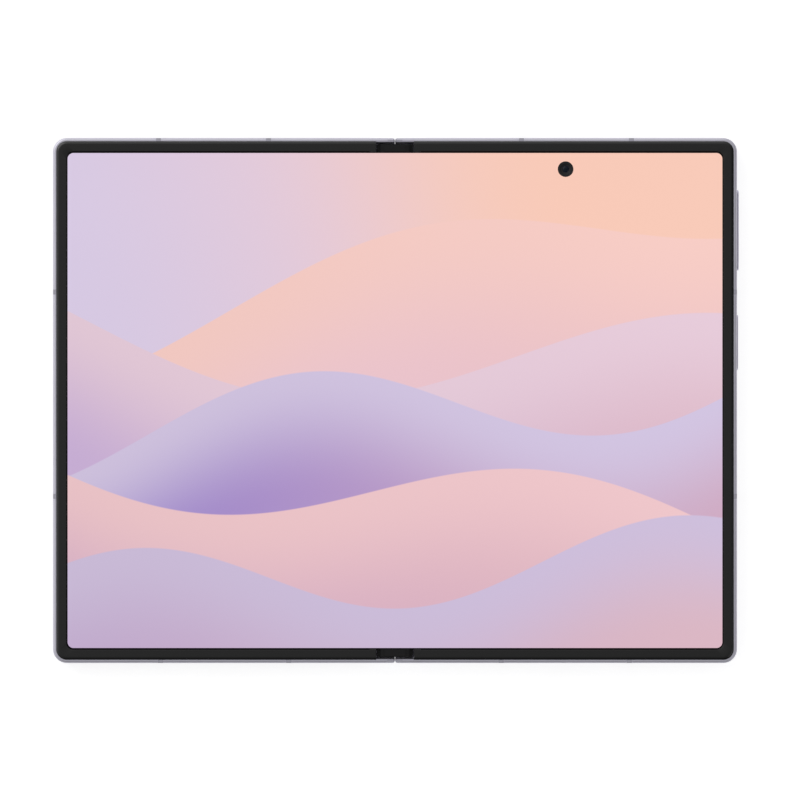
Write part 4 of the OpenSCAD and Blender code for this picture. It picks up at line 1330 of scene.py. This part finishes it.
@dataclass
class BezelTrim:
    """Black bezel of one half, with a rounded outer edge and a fine step down to the display."""

    side: Side
    start_x: float = 4.5
    edge_r: float = 1.05
    edge_turn: float = 44.0
    gap: float = 0.005
    low_z: float = 5.22
    tuck: float = 0.42
    inner_r: float = 0.09
    inner_steps: int = 4
    over_panel: float = 0.03
    undercut: float = 0.015
    filler_x: Pair = (4.52, 5.98)
    filler_y: float = 58.56
    filler_lap: float = 0.03
    filler_drop: float = 0.02

    def fillers(self) -> Surface:
        """Small blocks that close the step between the bezel's ends and the display sheet.

        Returns:
            The blocks.
        """
        (near, far), panel = self.filler_x, SIZES.panel_z - self.filler_drop
        low = (near, self.filler_y, self.low_z)
        return block(low, (far, SIZES.window_y + self.filler_lap, panel)).doubled()

    def section(self) -> Array:
        """Rows of u, inset and z: outer edge (u = 0), then the step at the window (u = 1).

        Returns:
            The rows.
        """
        top, over = SIZES.top_z, SIZES.panel_z + self.over_panel
        wide = self.edge_r * math.sin(math.radians(self.edge_turn))
        middle = (SIZES.lip_w + self.gap + wide, top - self.edge_r)
        edge = arc(middle, self.edge_r, 90 + self.edge_turn, 90, ROUND_STEPS)
        step = arc((-self.inner_r, top - self.inner_r), self.inner_r, 90, 0, self.inner_steps)
        wall = edge[0, 0] + self.undercut
        rows = [(0.0, *point) for point in edge] + [(1.0, *point) for point in step]
        rows += [(1.0, 0.0, over), (1.0, -self.tuck, over), (1.0, -self.tuck, self.low_z)]
        rows += [(0.0, wall, self.low_z), (0.0, wall, edge[0, 1] - 2 * self.undercut)]
        return np.array(rows)

    def build(self) -> list[Thing]:
        """Section carried along two outlines at once.

        A point is the outer outline less its inset along the normal, times 1 - u, plus the
        window's outline less its own inset, times u.

        Returns:
            The pieces.
        """
        outer = HalfPath(self.start_x, SIZES.half_w, SIZES.half_h, SIZES.corner_r).table()
        inner = HalfPath(self.start_x, SIZES.window_x, SIZES.window_y, SIZES.window_r).table()
        share, inset, level = self.section().T
        share = share[None, :, None]
        flat = drawn_in(outer, inset) * (1 - share) + drawn_in(inner, inset) * share
        surface = (raised(flat, level) + self.fillers()).turned(self.side)
        trim = make_piece(self.side.node("bezel_trim"), surface, BEZEL_PLASTIC)
        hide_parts(self.side.node("bezel"))
        return carried_by(self.side.body, trim)


@dataclass
class HingeShroud:
    """Black gasket on the spine's upper edge, round each end cap."""

    x: Pair = (3.38, 4.33)
    y: Pair = (58.57, 60.5)
    z: Pair = (4.951, 4.99)

    def build(self) -> list[Thing]:
        """Four thin strips, one on each side of each end cap.

        Returns:
            The pieces.
        """
        strip = block(*zip(self.x, self.y, self.z))
        strips = [strip.mirrored(a, b) for a in (-1, 1) for b in (-1, 1)]
        gasket = make_piece("hinge_end_gaskets", joined(strips), CAP_PLASTIC)
        return carried_by("spine", gasket)


@dataclass
class HingeLip:
    """Widened lip beside the end cap: a step whose darker tone of the frame metal is painted shade, and a
    black edge inside it.
    """

    side: Side
    end_x: float = 4.48
    pivot: Pair = (1.2, 5.1)
    swing_r: float = 1.162
    foot: tuple[Pair, ...] = ((0.6, 5.5), (0.3, 5.12))
    step_y: Pair = (61.0, 61.36)
    step_rise: float = 0.024
    edge_y: Pair = (60.81, 61.0)
    edge_rise: float = 0.018

    def bar(self, ends: Pair, rise: float) -> Surface:
        """Section in x and z: the arc about the fold's axis up to the lip, then level to the bezel.

        Args:
            ends: where the bar starts and ends along the hinge.
            rise: its height over the lip.

        Returns:
            The bar and its mirror image at the other end of the hinge.
        """
        top = SIZES.lip_z + rise
        last = 180 - math.degrees(math.asin((top - self.pivot[1]) / self.swing_r))
        swing = arc(self.pivot, self.swing_r, 180, last, ROUND_STEPS)
        end = [(self.end_x, top), (self.end_x, self.foot[0][1])]
        outline = np.concatenate([swing, end, self.foot])
        return stack([(outline, y) for y in ends], Axis.Y).doubled()

    def build(self) -> list[Thing]:
        """The step and the black edge at both ends of this half.

        Returns:
            The pieces.
        """
        step = self.bar(self.step_y, self.step_rise).turned(self.side)
        edge = self.bar(self.edge_y, self.edge_rise).turned(self.side)
        return carried_by(
            self.side.body,
            # The step's darker metal is painted shade
            make_piece(self.side.node("lip_step_painted_shade"), step, SHADED_STEP_METAL),
            make_piece(self.side.node("lip_edge"), edge, CAP_PLASTIC),
        )


@dataclass
class InnerDisplay:
    """Flexible display: two sheets that meet over the spine."""

    fold_half: float = 6.0
    bend_x: float = 4.8
    fold_y: float = 58.54
    reach_x: float = 77.92
    reach_y: float = 59.17
    corner_r: float = 1.5
    corner_turn: float = 88.0
    corner_steps: int = 7
    edge_r: float = 0.05
    columns: int = 28
    step_x: float = 0.01
    camera_r: float = 1.85
    camera_z: Pair = (5.0, 6.5)
    sharp: float = 50.0

    def sheet_surface(self) -> Surface:
        """Rectangular cross-sections set side by side from the fold to the outer edge.

        The half height is the fold's up to the end caps, then the panel's, and at the outer
        end it follows the corner's quarter circle.

        Returns:
            The closed surface of the right sheet.
        """
        bend = np.linspace(0, self.fold_half, self.columns + 1)
        turn = np.radians(np.linspace(0, self.corner_turn, self.corner_steps + 1))
        end = self.reach_x - self.corner_r + self.corner_r * np.sin(turn)
        station = np.concatenate([bend, [self.fold_half + self.step_x], end])
        flat = np.full(self.columns + 1, self.fold_y)
        drop = self.reach_y - self.corner_r * (1 - np.cos(turn))
        height = np.concatenate([flat, [self.reach_y], drop])
        low, high, r = SIZES.panel_low_z, SIZES.panel_z, self.edge_r
        side_y = np.array([-1, 1, 1, 1, 1, -1, -1, -1])
        inset = np.array([r, r, 0, 0, r, r, 0, 0])
        level = np.array([low, low, low + r, high - r, high, high, high - r, low + r])
        y = side_y * (height[:, None] - inset)
        x = np.broadcast_to(station[:, None], y.shape)
        z = np.broadcast_to(level, y.shape)
        return loft(np.stack([x, y, z], axis=2))

    def build(self) -> list[Thing]:
        """The two sheets, the right one with the hole for the camera.

        Returns:
            The pieces.
        """
        sheets = []
        for side in Side:
            sheet = make_piece(
                side.node("display_sheet"), self.sheet_surface().turned(side), DISPLAY, self.sharp
            )
            if side is Side.RIGHT:
                cut(sheet, bore(SIZES.front_camera, self.camera_r, self.camera_z), self.sharp)
            sheet.modifiers.clear()
            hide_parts(f"display_{side.name.lower()}")
            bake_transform(sheet)
            sheets.append(sheet)
        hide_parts("display_fold")
        return sheets


@dataclass
class FrontCamera:
    """Camera in the punch hole: a black liner, a lens barrel and a dome of glass.

    The funnel's rows are a radius over the barrel's and a drop below the liner's top. The
    other drops count from there too.
    """

    liner_r: float = 1.84
    barrel_r: float = 1.15
    lens_r: float = 0.78
    back_z: float = 5.3
    recess: float = 0.02
    edge: float = 0.05
    funnel: tuple[Pair, ...] = ((0.22, 0.0), (0.16, 0.05), (0.0, 0.2), (0.0, 0.22))
    seat_drop: float = 0.3
    dome_drop: float = 0.45
    dome_rise: float = 0.22
    dome_turn: float = 84.0
    dome_steps: int = 7
    lens_sides: int = 48
    gap: float = 0.02

    def build(self) -> list[Thing]:
        """Liner and barrel as turned rings, the lens as a turned dome.

        Returns:
            The pieces.
        """
        centre, top = SIZES.front_camera, SIZES.panel_z - self.recess
        rows = [(self.liner_r, self.back_z), (self.liner_r, top - self.edge)]
        rows += [(self.liner_r - self.edge, top)]
        rows += [(self.barrel_r + more, top - drop) for more, drop in self.funnel]
        rows += [(self.lens_r + self.gap, top - self.seat_drop), (self.lens_r, self.back_z)]
        glass = dome(self.lens_r, top - self.dome_drop, self.dome_rise, self.dome_turn, self.dome_steps)
        glass = np.vstack([[(self.lens_r, self.back_z + self.gap)], glass])
        ring = make_piece("front_camera_liner", lathe(centre, np.array(rows)), CASE_PLASTIC)
        lens = make_piece("front_camera_lens", lathe(centre, glass, self.lens_sides), LENS_ELEMENT)
        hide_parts("front_camera_glass")
        return carried_by(Side.RIGHT.body, ring, lens)


@dataclass
class SideKey:
    """Key in the long edge: a bar with round ends and a softly rounded face, on its flange."""

    name: str
    size: BarSize
    proud: float
    edge_r: float = 0.28
    root_x: float = 78.7
    flange_x: Pair = (78.6, 79.15)
    flange_over: float = 0.6

    def build(self) -> list[Thing]:
        """Outlines that draw in along a quarter circle, then the flange behind the wall.

        Returns:
            The pieces.
        """
        size, (y, z) = self.size, self.size.place
        face = SIZES.half_w + self.proud
        loops = [(stadium(size.place, size.length, size.height), self.root_x)]
        for inset, depth in quarter_round(self.edge_r)[::-1]:
            loops.append((stadium(size.place, size.length, size.height, -inset), face - depth))
        reach = size.length / 2 + self.flange_over
        flange = block(
            (self.flange_x[0], y - reach, z - size.height / 2),
            (self.flange_x[1], y + reach, z + size.height / 2),
        )
        key = make_piece(f"{self.name}_bar", stack(loops, Axis.X) + flange, KEY_METAL)
        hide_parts(self.name)
        return carried_by(self.name, key)


@dataclass
class RearGlass:
    """Frosted rear glass of the right half, with openings for the flash and the cameras."""

    start_x: float = 5.75
    inset: float = 0.75
    edge_r: float = 0.25
    fold_corner_r: float = 0.3
    cut_z: Pair = (0.9, 2.2)
    barrel_r: float = 4.2
    flash_gap: float = 0.03
    flash_chamfer: Pair = (0.15, 0.12)

    def plate(self) -> Surface:
        """Plate with a rounded edge, as large on both halves.

        Returns:
            The closed surface.
        """
        high = (SIZES.half_w - self.inset, SIZES.half_h - self.inset)
        r, near = SIZES.corner_r - self.inset, self.fold_corner_r
        faces = (SIZES.back_z, SIZES.glass_z)
        return rounded_plate((self.start_x, -high[1]), high, [r, near, near, r], faces, self.edge_r)

    def build(self) -> list[Thing]:
        """The plate, cut for the flash and the camera barrels.

        Returns:
            The pieces.
        """
        glass = make_piece("rear_glass_plate", self.plate(), REAR_GLASS)
        r, (wide, deep) = SIZES.flash_r + self.flash_gap, self.flash_chamfer
        low, high = self.cut_z
        rows = [(r + wide, low), (r + wide, SIZES.back_z), (r, SIZES.back_z + deep), (r, high)]
        holes = [lathe(SIZES.flash, np.array(rows))]
        holes += [bore((SIZES.cameras_x, y), self.barrel_r, self.cut_z) for y, _ in SIZES.cameras]
        cut(glass, joined(holes))
        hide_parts("right_back_glass")
        return carried_by(Side.RIGHT.body, glass)


@dataclass
class FlashWindow:
    """Window of the flash, with a relief of fine rings as on a stepped lens."""

    face_z: float = 1.31
    back_z: float = 1.83
    edge: Pair = (0.06, 0.05)
    first_r: float = 1.8
    pitch: float = 0.2
    ring_h: float = 0.06

    def build(self) -> list[Thing]:
        """One turned piece: every other ring of the relief lies deeper.

        Returns:
            The pieces.
        """
        r, z = SIZES.flash_r, self.face_z
        rows = [(r, self.back_z), (r, z + self.edge[1]), (r - self.edge[0], z)]
        radii = np.arange(self.first_r, self.pitch, -self.pitch)
        rows += [(radius, z + self.ring_h * (k % 2)) for k, radius in enumerate(radii)]
        window = make_piece("flash_window", lathe(SIZES.flash, np.array(rows)), FLASH)
        return carried_by(Side.RIGHT.body, window)


@dataclass
class CameraBump:
    """Raised metal island with its three cameras."""

    middle_y: float = 37.55
    width: float = 14.0
    length: float = 42.0
    edge_r: float = 0.4
    cover_r: float = 4.5
    cover_z: Pair = (0.12, 0.52)
    cover_edge: Pair = (0.1, 0.03)
    gap: float = 0.03
    chamfer: float = 0.25
    seat: Pair = (4.13, 0.56)
    seat_step: float = 0.01
    cut_z: Pair = (-1.0, 2.0)
    lens_gap: float = 0.02
    lens_z: float = 0.98
    lens_rise: float = 0.33
    lens_turn: float = 86.0
    lens_steps: int = 9
    lens_back_z: float = 1.1

    def island(self) -> Surface:
        """Stacked outlines with round ends, drawn in at the outer face.

        Returns:
            The closed surface.
        """
        half = np.array([self.width, self.length]) / 2
        middle = np.array([SIZES.cameras_x, self.middle_y])
        radii = [half[0] - MIN_SIDE] * 4
        return rounded_plate(middle - half, middle + half, radii, (0.0, SIZES.back_z), self.edge_r)

    def opening(self, spot: Pair) -> Surface:
        """Cutter of one lens opening: a chamfer, the cover's recess and the way to the camera.

        Args:
            spot: the lens's place.

        Returns:
            The closed surface.
        """
        (low, high), (seat_r, seat_z) = self.cut_z, self.seat
        r = self.cover_r + self.gap
        rows = [(r + self.chamfer, low), (r + self.chamfer, 0), (r, self.chamfer), (r, seat_z)]
        return lathe(spot, np.array(rows + [(seat_r, seat_z + self.seat_step), (seat_r, high)]))

    def cover(self, spot: Pair) -> Surface:
        """Cover glass with a rim that two chamfers round off."""
        r, (low, high), (wide, fine) = self.cover_r, self.cover_z, self.cover_edge
        return lathe(spot, np.array([(r - wide, low), (r - fine, low + fine), (r, low + wide), (r, high)]))

    def lens(self, spot: Pair, radius: float) -> Surface:
        """Front element of one camera, a dome that fills its aperture.

        Args:
            spot: the lens's place.
            radius: radius of the camera's aperture.

        Returns:
            The closed surface.
        """
        r = radius - self.lens_gap
        front = dome(r, self.lens_z, -self.lens_rise, self.lens_turn, self.lens_steps)
        return lathe(spot, np.vstack([[(r, self.lens_back_z)], front]))

    def build(self) -> list[Thing]:
        """The island, cut for its cameras, and their covers and lenses.

        Returns:
            The pieces.
        """
        cameras = [((SIZES.cameras_x, y), radius) for y, radius in SIZES.cameras]
        openings = joined([self.opening(spot) for spot, _ in cameras])
        glasses = joined([self.cover(spot) for spot, _ in cameras])
        fronts = joined([self.lens(spot, radius) for spot, radius in cameras])
        island = make_piece("camera_bump", self.island(), ANODISED)
        cut(island, openings)
        covers = make_piece("lens_covers", glasses, LENS_COVER)
        domes = make_piece("lens_domes", fronts, LENS_ELEMENT)
        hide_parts("camera_island")
        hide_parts("camera_lens_glass")
        return carried_by(Side.RIGHT.body, island, covers, domes)


@dataclass
class CoverGlass:
    """Black glass over the outer side of the left half."""

    def build(self) -> list[Thing]:
        """The mirror image of the rear glass's plate, without its openings.

        Returns:
            The pieces.
        """
        glass = make_piece("cover_glass_plate", RearGlass().plate().turned(Side.LEFT), COVER_GLASS)
        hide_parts("cover_glass")
        return carried_by(Side.LEFT.body, glass)


@dataclass
class PortContacts:
    """Gold contacts on both faces of the charging socket's tongue."""

    tongue_w: float = 6.7
    margin: float = 0.35
    count: int = 12
    width: float = 0.26
    y: Pair = (-60.1, -56.2)
    rows_z: tuple[Pair, ...] = ((3.20, 3.24), (3.91, 3.95))

    def build(self) -> list[Thing]:
        """A row of thin blocks on each face, at an even pitch.

        Returns:
            The pieces.
        """
        parts = []
        half = self.width / 2
        pitch = (self.tongue_w - 2 * self.margin) / (self.count - 1)
        for x in spread(SIZES.port_x, self.count, pitch):
            for low, high in self.rows_z:
                parts.append(block((x - half, self.y[0], low), (x + half, self.y[1], high)))
        pins = make_piece("port_contacts", joined(parts), GOLD)
        return carried_by(Side.RIGHT.body, pins)


@dataclass
class TrayFace:
    """Thin outer face of the card tray, with its pin hole.

    The face's rows are how far the outline grows and its x, the hole's rows a radius and an x.
    """

    face: tuple[Pair, ...] = ((0, -80.5), (0, -80.6), (-0.02, -80.64), (-0.06, -80.662))
    hole: tuple[Pair, ...] = ((0.4, -80.0), (0.4, -80.6), (0.47, -80.67), (0.47, -81.5))
    hole_shift: float = -7.0
    hole_sides: int = 24

    def build(self) -> list[Thing]:
        """Outlines that draw in towards the outer side, cut for the pin hole.

        Returns:
            The pieces.
        """
        size, (y, z) = CARD_TRAY, CARD_TRAY.place
        loops = [(stadium((y, z), size.length, size.height, grow), x) for grow, x in self.face]
        face = make_piece("tray_face", stack(loops, Axis.X), ANODISED)
        spot = (y + self.hole_shift, z)
        cut(face, stack([(ring_loop(spot, r, self.hole_sides), x) for r, x in self.hole], Axis.X))
        return carried_by("sim_tray", face)


@dataclass
class Carried:
    """CAD nodes that keep their shape and get the finish of their slot."""

    special: dict[str, Finish] = field(
        default_factory=lambda: {"hinge_end_caps": CAP_PLASTIC, "spine_cover": SPINE_METAL})

    def dress(self) -> None:
        """Puts a material on every CAD node."""
        by_slot = {finish.slot.value: finish for finish in CAD_FINISHES}
        for entry in frame["record"]["subparts"]:
            name = entry["node"]
            finish = self.special.get(name, by_slot[entry["material_slot"]])
            for place in frame["nodes"][name].material_slots:
                place.link = "OBJECT"
                place.material = finish.material()


# ---------- scene ----------


@dataclass
class Studio:
    """Pale floor, soft lamps, white surroundings and the camera over the display."""

    span: float = 188.77
    aim: Triple = (1.18, 0.12, 5.9)
    distance: float = 2400.0
    floor_half: float = 3000.0
    floor_tone: float = 0.62
    floor_glow: float = 0.66
    fill: float = 0.55
    dark_side: float = 0.05
    bright_side: float = 1.475
    rise: float = 2.25
    brightest: float = 0.92

    def add_floor(self) -> None:
        """Flat pale floor; its glow shows only to rays that look at it, so the shadow stays.

        From below it is clear, so that the outer side of the phone can be looked at.
        """
        corners = np.array([(-1, -1, 0), (1, -1, 0), (1, 1, 0), (-1, 1, 0)]) * self.floor_half * MM
        mesh = bpy.data.meshes.new("floor")
        mesh.from_pydata(corners.tolist(), [], [[0, 1, 2, 3]])
        floor = bpy.data.objects.new("floor", mesh)
        bpy.context.scene.collection.objects.link(floor)
        sheet = NodeSheet("pale_floor")
        ray = sheet.add("ShaderNodeLightPath").outputs
        seen = sheet.math("MAXIMUM", ray["Is Camera Ray"], ray["Is Glossy Ray"])
        seen = sheet.math("MAXIMUM", seen, ray["Is Transmission Ray"])
        behind = sheet.add("ShaderNodeNewGeometry").outputs["Backfacing"]
        level = self.floor_tone
        sheet.set(
            Base_Color=sheet.mix(sheet.noise(scale=3, detail=2), (level,) * 3, (level + 0.01,) * 3),
            Roughness=1.0,
            Specular_IOR_Level=0.0,
            Emission_Color=WHITE,
            Emission_Strength=sheet.math("MULTIPLY", seen, self.floor_glow),
            Alpha=sheet.math("SUBTRACT", 1.0, behind),
        )
        mesh.materials.append(sheet.material)

    def add_world(self) -> None:
        """White to the camera; reflections see a studio that is bright on the key lamp's side.

        Its strength is dark_side plus bright_side times share to the power rise, where the share
        goes from 0 on the far horizon to 1 on the lamp's, and no more than brightest.
        """
        world = bpy.data.worlds.new("surroundings")
        bpy.context.scene.world = world
        world.use_nodes = True
        tree = NodeTree(world.node_tree)
        ray = tree.add("ShaderNodeLightPath").outputs
        way = tree.add("ShaderNodeTexCoord").outputs["Generated"]
        towards_lamp = Vector((-1.0, 1.0, 0.0)).normalized()
        dot = tree.vector("DOT_PRODUCT", way, towards_lamp).outputs["Value"]
        share = tree.math("POWER", tree.math("MULTIPLY_ADD", dot, 0.5, 0.5), self.rise)
        studio = tree.math("MULTIPLY_ADD", share, self.bright_side, self.dark_side)
        fill, mirror, white = (
            tree.add("ShaderNodeBackground", WHITE, strength).outputs[0]
            for strength in (self.fill, tree.math("MINIMUM", studio, self.brightest), 1.0)
        )
        lit = tree.add("ShaderNodeMixShader", ray["Is Glossy Ray"], fill, mirror).outputs[0]
        clear = tree.math("MAXIMUM", ray["Is Camera Ray"], ray["Is Transmission Ray"])
        shown = tree.add("ShaderNodeMixShader", clear, lit, white).outputs[0]
        tree.add("ShaderNodeOutputWorld", shown)

    def add_lamp(self, name: str, place: Triple, size: float, power: float) -> None:
        """Square soft lamp at a place in millimetres, turned to the phone.

        Args:
            name: name of the lamp.
            place: its place.
            size: its side.
            power: its power in watts.
        """
        lamp = bpy.data.lights.new(name, "AREA")
        lamp.shape, lamp.size, lamp.energy = "SQUARE", size * MM, power
        thing = bpy.data.objects.new(name, lamp)
        thing.location = Vector(place) * MM
        thing.rotation_euler = (-thing.location).to_track_quat("-Z", "Y").to_euler()
        bpy.context.scene.collection.objects.link(thing)

    def add_camera(self) -> None:
        """Long lens straight over the display; the span is what the picture's width takes in."""
        lens = bpy.data.cameras.new("photo_camera")
        lens.lens = lens.sensor_width * self.distance / self.span
        lens.clip_end = 20.0
        camera = bpy.data.objects.new("photo_camera", lens)
        x, y, z = self.aim
        camera.location = Vector((x, y, z + self.distance)) * MM
        bpy.context.scene.collection.objects.link(camera)
        bpy.context.scene.camera = camera

    def build(self) -> None:
        """Floor, surroundings, lamps and camera."""
        self.add_floor()
        self.add_world()
        self.add_lamp("key_lamp", (-620, 640, 620), size=900, power=3.2)
        self.add_lamp("fill_lamp", (760, -420, 700), size=700, power=1.0)
        self.add_camera()
        bpy.context.scene.view_settings.view_transform = "Standard"


def main() -> None:
    """Builds the sub-assemblies in order and dresses the carried nodes."""
    Studio().build()
    Carried().dress()
    assemblies = [
        FrameRim(Side.RIGHT),
        FrameRim(Side.LEFT),
        BezelTrim(Side.RIGHT),
        BezelTrim(Side.LEFT),
        HingeShroud(),
        HingeLip(Side.RIGHT),
        HingeLip(Side.LEFT),
        InnerDisplay(),
        FrontCamera(),
        SideKey("volume_key", VOLUME_KEY, proud=0.47),
        SideKey("power_key", POWER_KEY, proud=0.32),
        RearGlass(),
        FlashWindow(),
        CameraBump(),
        CoverGlass(),
        PortContacts(),
        TrayFace(),
    ]
    for assembly in assemblies:
        kind = type(assembly).__name__
        for thing in assembly.build():
            log.info("%s: %s, %d faces", kind, thing.name, len(thing.data.polygons))


if __name__ == "__main__":
    main()
